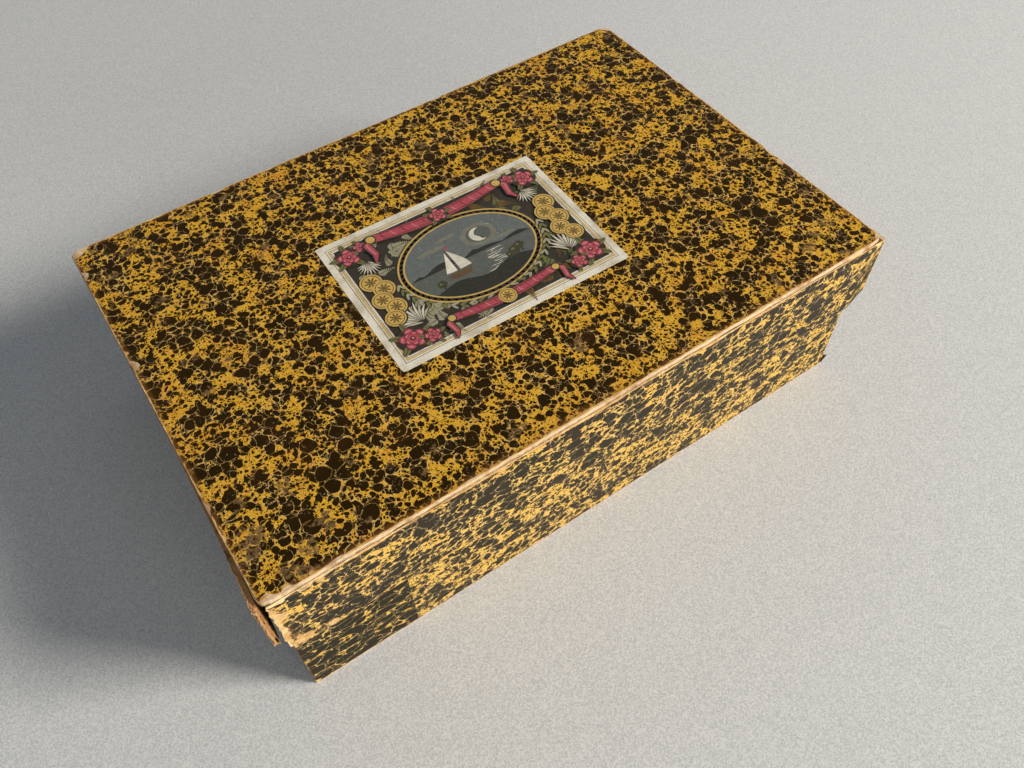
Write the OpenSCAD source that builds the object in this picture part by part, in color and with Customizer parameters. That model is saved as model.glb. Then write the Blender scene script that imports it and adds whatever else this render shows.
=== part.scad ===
// Boxed toy magic lantern: a pasteboard box with a lift-off lid, covered in marbled paper, and
// in its bays a tin lantern lying on its side, a rack of glass slides, an oil lamp and a chimney.
// Millimetres, +Z up. Origin: centre of the box on the table. -Y is the front, -X the left end.

/* [Box] */
// Outside length of the closed box, along the front
box_l = 300; // [294:1:360]
// Outside width of the closed box, front to back
box_w = 200; // [196:1:260]
// Height of the closed box, up to the paper on the lid
box_h = 93; // [92:1:130]
// Depth of the lid, from its top to its lower edge
lid_depth = 44; // [24:1:70]
// Pasteboard of the tray and of the lid's aprons
board_t = 1.8; // [1.4:0.1:2.4]
// Pasteboard of the lid's top, whose bare edge shows
top_board_t = 2.2; // [1.8:0.1:3]
// Covering and lining paper
paper_t = 0.2; // [0.15:0.05:0.3]
// Gap between lid and tray on each side
lid_gap = 0.5; // [0.4:0.1:1]
// Width of the paper turned in over an edge
turn_in = 12; // [6:1:14]
// Corner radius of the lid's top
corner_r = 1.6; // [0.5:0.1:4]
// Strip along the lid's edges where the paper has worn away
worn_margin = 1.3; // [0.5:0.1:4]
// How far the end aprons have sprung out at their front corners
splay = 2.6; // [0:0.1:5]
// Share of an end apron, from the back, that is still straight
splay_start = 0.5; // [0.3:0.05:0.8]
// Where the edge of the tray's left paper shows on the front
seam_x = -97.5; // [-120:0.5:-60]
// Lap of the left paper over the right one
seam_lap = 8; // [4:1:14]
// Height of the tray paper's worn lower edge above the table
paper_foot = 0.6; // [0.3:0.1:2]
// Linen stay in a corner, width of each leg
stay_w = 14; // [8:1:20]

/* [Label] */
// Length of the label
label_l = 112.6; // [60:0.2:150]
// Width of the label
label_w = 81; // [40:0.5:110]
// Thickness of the label
label_t = 0.15; // [0.1:0.05:0.3]
// Centre of the label, right of the lid's middle
label_x = -4.3; // [-40:0.1:40]
// Centre of the label, behind the lid's middle
label_y = -3.6; // [-25:0.1:25]
// Turn of the label, in degrees
label_turn = -1; // [-4:0.5:4]

/* [Bays] */
// Card of the partitions and the slide shelf
card_t = 1.5; // [1:0.1:2]
// Height of the partitions
partition_h = 72; // [50:1:73]
// Free length beyond the lantern's collar
lantern_room = 1.5; // [0.5:0.5:4]
// Width of the slide bay, front to back
slide_bay_w = 59; // [56:0.5:64]
// Width of the lamp bay, left to right
lamp_bay_l = 68; // [62:1:76]
// Free length behind the lamp
lamp_room = 24; // [20:1:32]
// Free length left of the stored chimney
chimney_room_x = 14; // [4:1:30]
// Free length behind the stored chimney
chimney_room_y = 34; // [6:1:50]
// Height of the slide shelf's underside above the floor
shelf_h = 29; // [12:1:30]
// Width of each runner under the shelf
runner_w = 10; // [5:1:20]

/* [Slides] */
// Number of glass slides
slide_count = 12; // [6:1:12]
// Width of a slide
slide_w = 40; // [34:1:40]
// Thickness of the glass
slide_t = 1.4; // [1:0.1:1.8]
// Distance from slide to slide in the rack
slide_pitch = 4.7; // [4.2:0.1:4.7]
// Width of the paper edging on a slide's face
edging_w = 3; // [2:0.5:5]
// Thickness of a comb along the slides
comb_t = 8; // [6:0.5:10]
// Height of a comb
comb_h = 32; // [20:1:38]
// Depth of the grooves in a comb
groove_depth = 3; // [2:0.5:4]
// Play of a slide in its groove, all round
groove_play = 0.3; // [0.2:0.1:0.5]

/* [Lantern] */
// Width and depth of the square tin body
body_w = 60; // [58:1:62]
// Height of the body
body_h = 96; // [90:1:98]
// Tinplate
tin_t = 0.6; // [0.5:0.1:0.8]
// Overhang of base and roof beyond the body
overhang = 3; // [2:0.5:4]
// Height of the base tray
base_rim_h = 6; // [4:0.5:8]
// Height of the hipped roof
roof_h = 12; // [8:1:14]
// Depth of the skirt round the roof
roof_skirt_h = 4; // [2:0.5:6]
// Flat top of the roof, side length
roof_flat = 35; // [33:1:40]
// Height of the optical axis above the base's underside
optic_h = 53; // [48:1:56]
// Radius of an air hole
vent_r = 2.5; // [1.5:0.5:3]
// Number of air holes in each side
vent_count = 4; // [2:1:5]

/* [Optics] */
// Radius of the condenser lens
condenser_r = 22.5; // [20:0.5:23]
// Bulge of the condenser lens
condenser_bulge = 7; // [4:0.5:9]
// Gap between lantern and stage plate, where a slide passes
stage_gap = 3.2; // [2.8:0.1:3.6]
// Thickness of the stage's rails
rail_t = 2.5; // [1.5:0.5:4]
// Length of the cone in front of the stage
cone_l = 13; // [8:1:16]
// Length of the fixed tube in front of the cone
fixed_tube_l = 14; // [10:1:18]
// Inner radius of the fixed tube
fixed_tube_r = 15.4; // [13:0.1:16]
// Wall of the brass tubes
tube_t = 0.7; // [0.5:0.1:0.9]
// Running clearance of the draw tube
tube_play = 0.07; // [0.05:0.01:0.09]
// Length of the draw tube
draw_tube_l = 27; // [26:1:30]
// How far the draw tube stands in the fixed tube at rest
draw_tube_in = 17; // [15:1:19]
// Travel of the draw tube when it is focused
focus_travel = 12; // [6:1:12]
// Free length in front of the lens at full travel
lens_room = 1.5; // [1:0.5:4]
// Bulge of each face of the objective lens
objective_bulge = 2; // [1:0.5:2.5]
// Thickness of both lenses at their rims
lens_rim = 1.8; // [1.4:0.1:2.4]
// Width of the flanges of the lens mount, the condenser ring and the chimney collar
flange_w = 2.5; // [1.5:0.1:3]
// Spread of the cone, on the radius, from the fixed tube to the stage plate
cone_spread = 5; // [3:0.5:6]
// Length of the objective's milled ring
ring_l = 5; // [4:0.5:7]
// How far the ring stands out round the tube
ring_lip = 1.6; // [1:0.2:2.4]

/* [Rear door] */
// Width of the door
door_w = 50; // [46:1:52]
// Height of the door
door_h = 84; // [76:1:86]
// Overlap of the door round its opening
door_lap = 2.5; // [1.5:0.5:4]
// Running gap between door and body
door_gap = 0.2; // [0.15:0.05:0.3]
// Outer radius of a hinge knuckle
knuckle_r = 1.7; // [1.5:0.1:2]
// Radius of the hinge pin
pin_r = 0.8; // [0.6:0.1:0.9]
// Running clearance of the hinge pin
pin_play = 0.06; // [0.04:0.01:0.08]
// Length of each of the three knuckles
knuckle_l = 14; // [8:1:20]
// Radius of the door knob
knob_r = 3.2; // [2:0.2:4]

/* [Chimney] */
// Outer radius of the chimney pipe
pipe_r = 14; // [11:0.5:14.5]
// Length of the chimney pipe
pipe_l = 60; // [45:1:62]
// Height of the collar on the roof
collar_h = 8; // [6:1:10]
// Play between pipe and collar
collar_play = 0.3; // [0.2:0.1:0.5]
// Radius of the cowl over the pipe
cowl_r = 20; // [17:0.5:21]
// Height of the cowl's straight band
cowl_band_h = 8; // [6:1:9]
// Height of the cowl's cone
cowl_cone_h = 7; // [5:1:8]
// Gap between the pipe's top and the cowl's cone, where the smoke leaves
smoke_gap = 5; // [4:0.5:7]
// Number of struts that carry the cowl
strut_count = 4; // [3:1:6]

/* [Lamp] */
// Radius of the oil font
font_r = 22; // [18:0.5:23]
// Height of the oil font
font_h = 20; // [16:1:22]
// Wall of the font and burner
font_t = 0.7; // [0.6:0.1:0.9]
// Radius of the filler cap
filler_r = 3.2; // [2.6:0.1:3.6]
// Radius of the burner's collar
burner_r = 10.4; // [10:0.1:11]
// Height of the burner's collar
burner_h = 10; // [9:0.5:11]
// Radius of the gallery that holds the glass
gallery_r = 14.2; // [14:0.1:15]
// Height of the gallery
gallery_h = 5; // [3:0.5:6]
// Number of draught holes in the gallery's floor
draught_count = 16; // [8:1:20]
// Width of the wick
wick_w = 11; // [9:0.5:11.5]
// Thickness of the wick
wick_t = 1.8; // [1.4:0.1:2]
// Play of the wick in its tube
wick_play = 0.25; // [0.2:0.05:0.3]
// Rise of the wick when its knob is turned fully
wick_rise = 7; // [4:0.5:8]
// Radius of the spindle's toothed wheel
wheel_r = 2.6; // [2.2:0.1:2.8]
// Radius of the spindle
spindle_r = 0.8; // [0.6:0.1:1]
// Running clearance of the spindle
spindle_play = 0.07; // [0.05:0.01:0.09]
// Radius of the wick knob
wick_knob_r = 5; // [4:0.5:6]
// Height of the lamp glass
glass_h = 48; // [36:1:50]
// Wall of the lamp glass
glass_t = 0.8; // [0.6:0.1:1]
// Swell of the lamp glass above its foot, on the radius
glass_belly = 1.8; // [1:0.1:3]
// Waist of the lamp glass at its top, on the radius
glass_waist = 3.4; // [2:0.1:5]
// Radius of the reflector
reflector_r = 17; // [12:0.5:18]
// Depth of the reflector's dish
reflector_dish = 4; // [2:0.5:6]
// Distance of the reflector behind the gallery
reflector_back = 8; // [6:0.5:10]
// Height of the reflector's middle above the gallery's floor
reflector_rise = 22; // [18:1:26]

/* [Hidden] */
$fn = 48;
eps = 0.01;
cut = 1;                                // how far a cut runs past the face that it opens

// Box: faces of the lid, measured from the middle outwards
lid_x = box_l / 2 - paper_t;            // outer face of the end aprons
lid_y = box_w / 2 - paper_t;            // outer face of the front and back aprons
lid_in_x = lid_x - board_t;
lid_in_y = lid_y - board_t;
apron_z0 = box_h - lid_depth + paper_t; // lower edge of the apron boards
apron_z1 = box_h - paper_t - top_board_t;

// Box: faces of the tray
tray_x = lid_in_x - paper_t - lid_gap;  // outer face of the tray's paper
tray_y = lid_in_y - paper_t - lid_gap;
wall_x = tray_x - paper_t;              // outer face of the tray's boards
wall_y = tray_y - paper_t;
in_x = wall_x - board_t;                // inner faces of the tray
in_y = wall_y - board_t;
tray_h = apron_z1 - paper_t;            // rim of the tray, under the lid's lining
wall_z0 = paper_t + board_t;            // walls stand on the bottom board
wall_z1 = tray_h - paper_t;
floor_z = wall_z0 + paper_t;            // top of the floor lining
stay_gap = 0.5;                         // between a corner stay and the turned-in paper
bottom_inset = 1;                       // of the paper under the tray

// Lantern, lying on its left side in the left bay, lens to the front
lantern_half = body_w / 2 + overhang;
body_z1 = base_rim_h + body_h;
lantern_l = body_z1 + roof_h + collar_h;
lantern_end_room = 1;
slot_play = 0.5;                        // of a slide in the stage
half_slot = slide_w / 2 + slot_play;    // above and below the optical axis
skirt_play = 0.15;                      // between the body and the roof's skirt
leaf_w = 3;                             // of a stage spring
leaf_t = 0.3;
leaf_l = 36;
leaf_bow = 1.3;
leaf_r = (leaf_l * leaf_l / 4 + leaf_bow * leaf_bow) / (2 * leaf_bow);
lantern_x = -in_x + lantern_end_room;
lantern_z = floor_z + lantern_half;
plate_h = body_w / 2 + stage_gap + tin_t;     // front face of the stage plate, from the axis
tube_h0 = plate_h + cone_l;                   // back end of the fixed tube
tube_h1 = tube_h0 + fixed_tube_l;             // its front end
draw_r = fixed_tube_r - tube_play;            // outer radius of the draw tube
draw_h0 = tube_h1 - draw_tube_in;
draw_h1 = draw_h0 + draw_tube_l;
ring_front = draw_h1 + tin_t;
ring_fit = 0.03;                              // between the milled ring and the draw tube
ring_notch_r = 0.5;
lens_play = 0.15;                             // between the condenser lens and its ring
lip_w = 1.2;                                  // of that ring, over the lens
lip_room = 1.4;                               // between lip and lens
objective_play = 0.1;                         // of the lens in the draw tube
lantern_y = -in_y + lens_room + focus_travel + ring_front + objective_bulge;

// Bays
part_x = lantern_x + lantern_l + lantern_room; // left face of the cross partition
bay_x = part_x + card_t;                       // left face of the right-hand bays
part_y = -in_y + paper_t + slide_bay_w;        // front face of the long partition
bay_y = part_y + card_t;
lamp_part_x = bay_x + lamp_bay_l;
part_z1 = floor_z + partition_h;
shelf_z = floor_z + shelf_h;
rack_z = shelf_z + card_t;                     // slides and combs stand here

// Slide rack
comb_x1 = bay_x + comb_t;
comb_x2 = in_x - paper_t - comb_t;
slide_x0 = comb_x1 - groove_depth + groove_play;
slide_l = comb_x2 + groove_depth - groove_play - slide_x0;
groove_w = slide_t + 2 * paper_t + 2 * groove_play;
rack_y0 = -in_y + paper_t + (slide_bay_w - slide_pitch * (slide_count - 1)) / 2;

// Rear door
door_y = body_w / 2 + door_gap;                // inner face of the door
hinge_x = -door_w / 2 - knuckle_r;
hinge_y = door_y + knuckle_r;
door_head_gap = 1;                             // between the door and the roof's skirt
door_z0 = body_z1 - roof_skirt_h - door_head_gap - door_h;
door_bead = 2;                                 // width of the door's rolled edge
hinge_z = door_z0 + door_h / 2;
knuckle_gap = 0.3;
pin_head_r = 1.3;
pin_head_h = 0.7;
pin_end = 0.5;                                 // stands out of the lowest knuckle

// Lamp and chimney
lamp_x = bay_x + lamp_bay_l / 2;
lamp_y = in_y - font_r - lamp_room;
stand_x = lamp_part_x + card_t + cowl_r + chimney_room_x;  // it stands upright in its bay
stand_y = in_y - cowl_r - chimney_room_y;
cowl_play = 0.05;                              // between the pipe and the cowl's clamping ring
cone_z = pipe_l + smoke_gap;                   // where the band ends and the cone starts
pipe_beads = [collar_h + 2, pipe_l - 12];      // heights of the two beads round the pipe
pipe_bead_r = 0.8;
clamp_h = 3;                                   // of that ring
font_curve = 1.5;                              // rounding of the font's foot and shoulder
shoulder_w = 4;                                // of the font, across its sloping top
shoulder_h = 5;
font_neck = burner_r - 1.5;                    // opening under the burner
draught_r = 0.8;
burner_z1 = font_h + burner_h;
spindle_z = font_h + burner_h / 2;
tooth_gap = 0.12;                              // the teeth all but touch the wick
spindle_y = wick_t / 2 + wheel_r + tooth_gap;
wheel_w = 1.2;
wheel_room = 0.3;
wheel_x = 2.4;                                 // middle of each toothed wheel, off the lamp's axis
wick_tube_t = 0.5;
wick_proud = 0.5;                              // of its tube
wick_tube_z0 = font_h - 5;
wick_tube_z1 = burner_z1 + gallery_h + 2;
wick_foot = wick_tube_z0 - wick_rise - 5;      // it stays in its tube when it is fully up
knob_x = gallery_r + 3;
knob_t = 1.8;
notch_r = 0.45;                                // of the wick knob and of its toothed wheels
glass_play = 0.3;
glass_foot_r = gallery_r - font_t - glass_play; // the glass stands inside the gallery
glass_foot_h = gallery_h + 1;
reflector_y = gallery_r + reflector_back;
reflector_z = burner_z1 + reflector_rise;
bracket_w = 6;

BOARD = [0.74, 0.58, 0.38];
PAPER = [0.80, 0.60, 0.22];
LINING = [0.86, 0.82, 0.72];
LABEL = [0.62, 0.58, 0.42];
CARD = [0.55, 0.50, 0.44];
WOOD = [0.66, 0.48, 0.28];
GLASS = [0.75, 0.86, 0.84, 0.5];
JAPAN = [0.10, 0.10, 0.11];
RED = [0.50, 0.10, 0.08];
BRASS = [0.80, 0.63, 0.30];
TIN = [0.66, 0.66, 0.64];

// ---- Helpers

// Box between two opposite corners
module block(from, to) { translate(from) cube(to - from); }

// Plate of a given half length and half width, from z0 to z1
module plate(half_l, half_w, z0, z1) { block([-half_l, -half_w, z0], [half_l, half_w, z1]); }

// Upright ring of board or paper between two rectangles
module frame(half_l, half_w, t, z0, z1) {
    difference() {
        plate(half_l, half_w, z0, z1);
        plate(half_l - t, half_w - t, z0 - cut, z1 + cut);
    }
}

// Rectangle with round corners
module round_rect(half_l, half_w, r) {
    square([2 * half_l, 2 * (half_w - r)], center = true);
    square([2 * (half_l - r), 2 * half_w], center = true);
    for (x = [-1, 1], y = [-1, 1])
        translate([x * (half_l - r), y * (half_w - r)]) circle(r);
}

// Outward spring of an end apron at share t of its length, from the back
function spring_at(t) = splay * pow(max(0, (t - splay_start) / (1 - splay_start)), 2);

// Plan of a strip along an end apron, between x0 and x1, from y0 at the front to y1 at the back
module apron_strip(x0, x1, y0, y1, steps = 14) {
    function at(i) = y1 + (y0 - y1) * i / steps;
    function out(y) = spring_at((lid_y - y) / (2 * lid_y));
    polygon(concat(
        [for (i = [0:steps]) [x0 + out(at(i)), at(i)]],
        [for (i = [steps:-1:0]) [x1 + out(at(i)), at(i)]]));
}

// Points of a spherical cap: chord radius r, height s, rising from h; the rim comes first
function cap(r, s, h, dir = 1, steps = 8) =
    let (big = (r * r + s * s) / (2 * s), open = asin(r / big))
    [for (i = [0:steps]) let (a = open * (1 - i / steps))
        [big * sin(a), h + dir * (big * cos(a) - big + s)]];

// Tube along Z, from z0 to z1
module tube(r_out, r_in, z0, z1) {
    translate([0, 0, z0]) difference() {
        cylinder(r = r_out, h = z1 - z0);
        translate([0, 0, -cut]) cylinder(r = r_in, h = z1 - z0 + 2 * cut);
    }
}

// Upright lantern to its place in the bay: its top points to +X and its left side up
module in_lantern() { translate([lantern_x, lantern_y, lantern_z]) rotate([0, 90, 0]) children(); }

// Turns a profile of radius and distance so that the distance runs forward along the optical axis
module on_optic() { in_lantern() translate([0, 0, optic_h]) rotate([90, 0, 0]) rotate_extrude() children(); }

module in_lamp() { translate([lamp_x, lamp_y, floor_z]) children(); }

// ---- Tray

module base_bottom_paper() { color(LINING) plate(wall_x - bottom_inset, wall_y - bottom_inset, 0, paper_t); }

module base_bottom_board() { color(BOARD) plate(wall_x, wall_y, paper_t, wall_z0); }

module long_wall(side) {
    color(BOARD) translate([0, side * (in_y + board_t / 2), 0])
        plate(wall_x, board_t / 2, wall_z0, wall_z1);
}

module end_wall(side) {
    color(BOARD) translate([side * (in_x + board_t / 2), 0, 0])
        plate(board_t / 2, in_y, wall_z0, wall_z1);
}

module base_front_wall() { long_wall(-1); }
module base_back_wall() { long_wall(1); }
module base_left_wall() { end_wall(-1); }
module base_right_wall() { end_wall(1); }

// Paper outside the walls, over the rim and down the inside
module tray_paper() {
    frame(tray_x, tray_y, paper_t, paper_foot, tray_h);
    frame(tray_x, tray_y, paper_t + board_t + paper_t, wall_z1, tray_h);
    frame(in_x, in_y, paper_t, tray_h - turn_in, tray_h);
}

module base_paper_left() {
    joint_x = seam_x - seam_lap;
    color(PAPER) {
        intersection() {
            tray_paper();
            block([-box_l, -box_w, -cut], [joint_x, box_w, box_h]);
        }
        block([joint_x - paper_t, -tray_y - paper_t, paper_foot], [seam_x, -tray_y, tray_h - paper_t]);
    }
}

module base_paper_right() {
    color(PAPER) intersection() {
        tray_paper();
        block([seam_x - seam_lap, -box_w, -cut], [box_l, box_w, box_h]);
    }
}

// Angle of linen in a corner whose inner faces are at x and y
module corner_stay(x, y, z0, z1) {
    block([x - stay_w, y - paper_t, z0], [x, y, z1]);
    block([x - paper_t, y - stay_w, z0], [x, y, z1]);
}

module base_corner_stays() {
    color(LINING) for (x = [0, 1], y = [0, 1])
        mirror([x, 0, 0]) mirror([0, y, 0])
            corner_stay(in_x, in_y, floor_z, tray_h - turn_in - stay_gap);
}

module base_floor_lining() { color(LINING) plate(in_x, in_y, wall_z0, floor_z); }

// ---- Lid

module lid_top_board() {
    color(BOARD) translate([0, 0, apron_z1]) linear_extrude(top_board_t)
        round_rect(box_l / 2, box_w / 2, corner_r);
}

// Plan of the front apron, which runs on to the sprung right-hand one and meets it
module front_plan() {
    difference() {
        translate([-lid_in_x, -lid_y]) square([2 * lid_in_x + splay, board_t]);
        apron_strip(lid_in_x, lid_x + splay, -lid_y, lid_y);
    }
}

// Right-hand apron; the left one is its mirror image
module end_apron() {
    color(BOARD) translate([0, 0, apron_z0]) linear_extrude(apron_z1 - apron_z0)
        apron_strip(lid_in_x, lid_x, -lid_y, lid_y);
}

module lid_front_apron() {
    color(BOARD) translate([0, 0, apron_z0]) linear_extrude(apron_z1 - apron_z0) front_plan();
}

module lid_back_apron() { color(BOARD) block([-lid_in_x, lid_in_y, apron_z0], [lid_in_x, lid_y, apron_z1]); }
module lid_left_apron() { mirror([1, 0, 0]) end_apron(); }
module lid_right_apron() { end_apron(); }

module lid_top_paper() {
    color(PAPER) translate([0, 0, box_h - paper_t]) linear_extrude(paper_t)
        round_rect(box_l / 2 - worn_margin, box_w / 2 - worn_margin, corner_r);
}

// The paper turned in over the lower edge of the front apron, and the back one's mirror image
module long_turn_in() {
    block([paper_t - lid_in_x, -lid_in_y, apron_z0 - paper_t],
        [lid_in_x - paper_t, paper_t - lid_in_y, apron_z0 + turn_in]);
}

module lid_back_paper() {
    color(PAPER) {
        block([-lid_x, lid_y, apron_z0 - paper_t], [lid_x, lid_y + paper_t, apron_z1]);
        block([-lid_in_x, lid_in_y - eps, apron_z0 - paper_t], [lid_in_x, lid_y + eps, apron_z0]);
        mirror([0, 1, 0]) long_turn_in();
    }
}

// Open at its left end, and over the corner at its right end
module lid_front_paper() {
    color(PAPER) {
        block([-lid_in_x, -lid_y - paper_t, apron_z0 - paper_t], [lid_x + splay + paper_t, -lid_y, apron_z1]);
        translate([0, 0, apron_z0 - paper_t]) linear_extrude(paper_t) front_plan();
        long_turn_in();
    }
}

module end_apron_paper() {
    color(PAPER) {
        translate([0, 0, apron_z0 - paper_t]) linear_extrude(apron_z1 - apron_z0 + paper_t)
            apron_strip(lid_x, lid_x + paper_t, -lid_y, lid_y);
        translate([0, 0, apron_z0 - paper_t]) linear_extrude(paper_t)
            apron_strip(lid_in_x, lid_x + paper_t, -lid_y, lid_in_y);
        translate([0, 0, apron_z0 - paper_t]) linear_extrude(turn_in)
            apron_strip(lid_in_x - paper_t, lid_in_x, -lid_in_y, lid_in_y - paper_t);
    }
}

module lid_left_paper() { mirror([1, 0, 0]) end_apron_paper(); }
module lid_right_paper() { end_apron_paper(); }

module lid_lining() { color(LINING) plate(lid_in_x, lid_in_y, apron_z1 - paper_t, apron_z1); }

// The front left corner has lost its stay
module lid_corner_stays() {
    z0 = apron_z0 + turn_in + stay_gap;
    z1 = apron_z1 - paper_t;
    sprung = spring_at((lid_y + lid_in_y) / (2 * lid_y));
    color(LINING) {
        for (x = [0, 1]) mirror([x, 0, 0]) corner_stay(lid_in_x, lid_in_y, z0, z1);
        block([lid_in_x - stay_w, -lid_in_y, z0], [lid_in_x - paper_t + sprung, paper_t - lid_in_y, z1]);
        translate([0, 0, z0]) linear_extrude(z1 - z0)
            apron_strip(lid_in_x - paper_t, lid_in_x, -lid_in_y, stay_w - lid_in_y);
    }
}

module picture_label() {
    color(LABEL) translate([label_x, label_y, box_h]) rotate([0, 0, label_turn])
        plate(label_l / 2, label_w / 2, 0, label_t);
}

// ---- Bays and slide rack

module cross_partition() { color(CARD) block([part_x, -in_y, floor_z], [bay_x, in_y, part_z1]); }

module long_partition() { color(CARD) block([bay_x, part_y, floor_z], [in_x, bay_y, part_z1]); }

module lamp_partition() {
    color(CARD) block([lamp_part_x, bay_y, floor_z], [lamp_part_x + card_t, in_y, part_z1]);
}

module slide_shelf() {
    color(CARD) block([bay_x, paper_t - in_y, shelf_z], [in_x - paper_t, part_y, rack_z]);
}

module shelf_runners() {
    color(WOOD) for (x = [bay_x, in_x - paper_t - runner_w])
        block([x, paper_t - in_y, floor_z], [x + runner_w, part_y, shelf_z]);
}

// Grooved bar from x0 to x1, with its grooves open towards the side at groove_x
module comb(x0, x1, groove_x) {
    color(WOOD) difference() {
        block([x0, paper_t - in_y, rack_z], [x1, part_y, rack_z + comb_h]);
        for (i = [0:slide_count - 1]) translate([groove_x, rack_y0 + i * slide_pitch, rack_z - cut])
            plate(groove_depth, groove_w / 2, 0, comb_h + 2 * cut);
    }
}

module slide_comb_left() { comb(bay_x, comb_x1, comb_x1); }
module slide_comb_right() { comb(comb_x2, comb_x2 + comb_t, comb_x2); }

module each_slide() {
    for (i = [0:slide_count - 1])
        translate([slide_x0, rack_y0 + i * slide_pitch, rack_z]) children();
}

module glass_slides() {
    color(GLASS) each_slide()
        block([0, -slide_t / 2, paper_t], [slide_l, slide_t / 2, slide_w - paper_t]);
}

// Paper folded over the lower and upper edge of each slide
module slide_edgings() {
    half = slide_t / 2 + paper_t;
    color(RED) each_slide() difference() {
        block([0, -half, 0], [slide_l, half, slide_w]);
        block([-cut, -half - cut, edging_w], [slide_l + cut, half + cut, slide_w - edging_w]);
        block([-cut, -slide_t / 2, paper_t], [slide_l + cut, slide_t / 2, slide_w - paper_t]);
    }
}

// ---- Lantern, drawn upright: front towards -Y, base on z = 0

module lantern_base() {
    color(RED) in_lantern() difference() {
        plate(lantern_half, lantern_half, 0, base_rim_h);
        plate(lantern_half - tin_t, lantern_half - tin_t, -cut, base_rim_h - tin_t);
    }
}

// A knuckle of the hinge: 0 is the door's, in the middle, and -1 and 1 are the body's
module at_knuckle(i) {
    translate([0, 0, hinge_z + (i - 0.5) * knuckle_l + max(0, i) * knuckle_gap]) children();
}

function knuckle_h(i) = knuckle_l - abs(i) * knuckle_gap;

module knuckle(i) {
    at_knuckle(i) translate([hinge_x, hinge_y, 0]) cylinder(r = knuckle_r, h = knuckle_h(i));
}

module hinge_bore() {
    translate([hinge_x, hinge_y, hinge_z - 2 * knuckle_l])
        cylinder(r = pin_r + pin_play, h = 4 * knuckle_l);
}

module lantern_body() {
    half = body_w / 2;
    color(JAPAN) in_lantern() difference() {
        union() {
            frame(half, half, tin_t, base_rim_h, body_z1);
            for (i = [-1, 1]) {
                knuckle(i);
                at_knuckle(i) block([-half, half - eps, 0], [hinge_x, half + tin_t, knuckle_h(i)]);
            }
        }
        hinge_bore();
        // opening for the condenser
        translate([0, -half + 2 * tin_t, optic_h]) rotate([90, 0, 0])
            cylinder(r = condenser_r - 1, h = 4 * tin_t);
        // opening behind the door
        block([-door_w / 2 + door_lap, half - 2 * tin_t, door_z0 + door_lap],
            [door_w / 2 - door_lap, half + cut, door_z0 + door_h - door_lap]);
        // air holes low down in both sides
        for (i = [0:vent_count - 1])
            translate([-half - cut, (i - (vent_count - 1) / 2) * 4 * vent_r, base_rim_h + 3 * vent_r])
                rotate([0, 90, 0]) cylinder(r = vent_r, h = body_w + 2 * cut);
    }
}

// Square hip: a four-sided cone between two side lengths
module hip(side0, side1, h) {
    rotate([0, 0, 45]) cylinder(r1 = side0 / sqrt(2), r2 = side1 / sqrt(2), h = h, $fn = 4);
}

module lantern_roof() {
    skirt_in = body_w / 2 + skirt_play;
    color(RED) in_lantern() difference() {
        union() {
            plate(lantern_half, lantern_half, body_z1 - roof_skirt_h, body_z1 + tin_t);
            translate([0, 0, body_z1 + tin_t - eps]) hip(body_w, roof_flat, roof_h - tin_t + eps);
        }
        plate(skirt_in, skirt_in, body_z1 - roof_skirt_h - cut, body_z1);
        translate([0, 0, body_z1 - eps]) hip(body_w - 4 * tin_t, roof_flat - 2 * tin_t, roof_h - tin_t);
        translate([0, 0, body_z1]) cylinder(r = pipe_r - tin_t, h = roof_h + cut);
    }
}

module chimney_collar() {
    r_in = pipe_r + collar_play;
    z0 = body_z1 + roof_h;
    color(JAPAN) in_lantern() {
        tube(r_in + flange_w, pipe_r - tin_t, z0, z0 + tin_t);
        tube(r_in + tin_t, r_in, z0, z0 + collar_h);
    }
}

// Rails above and below the slot that the slides pass through
module stage_rails() {
    color(JAPAN) in_lantern() for (z = [-half_slot - rail_t, half_slot])
        block([-body_w / 2, -body_w / 2 - stage_gap, optic_h + z],
            [body_w / 2, -body_w / 2, optic_h + z + rail_t]);
}

module stage_plate() {
    half = half_slot + rail_t;
    color(JAPAN) in_lantern() difference() {
        block([-body_w / 2, -plate_h, optic_h - half], [body_w / 2, tin_t - plate_h, optic_h + half]);
        translate([0, cut - plate_h, optic_h]) rotate([90, 0, 0])
            cylinder(r = fixed_tube_r + cone_spread - tube_t, h = 2 * cut);
    }
}

// Two bowed leaves behind the stage plate that hold a slide back against the lantern
module stage_springs() {
    color(BRASS) in_lantern() for (z = [-half_slot + cut, half_slot - leaf_w - cut])
        translate([0, tin_t - plate_h, optic_h + z]) linear_extrude(leaf_w) intersection() {
            translate([0, leaf_bow - leaf_r]) difference() {
                circle(leaf_r, $fn = 360);
                circle(leaf_r - leaf_t, $fn = 360);
            }
            translate([-leaf_l / 2, 0]) square([leaf_l, leaf_bow + cut]);
        }
}

// Flat side against the lantern's front
module condenser_lens() {
    h = body_w / 2 - tin_t;
    color(GLASS) on_optic()
        polygon(concat([[0, h], [condenser_r, h]], cap(condenser_r, condenser_bulge, h - lens_rim, -1)));
}

module condenser_ring() {
    h = body_w / 2 - tin_t;
    r = condenser_r + lens_play;
    back = h - lens_rim - lip_room;
    color(BRASS) on_optic() polygon([
        [r, h], [r + flange_w, h], [r + flange_w, h - tube_t], [r + tube_t, h - tube_t],
        [r + tube_t, back - tin_t], [r - lip_w, back - tin_t], [r - lip_w, back], [r, back]]);
}

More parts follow.
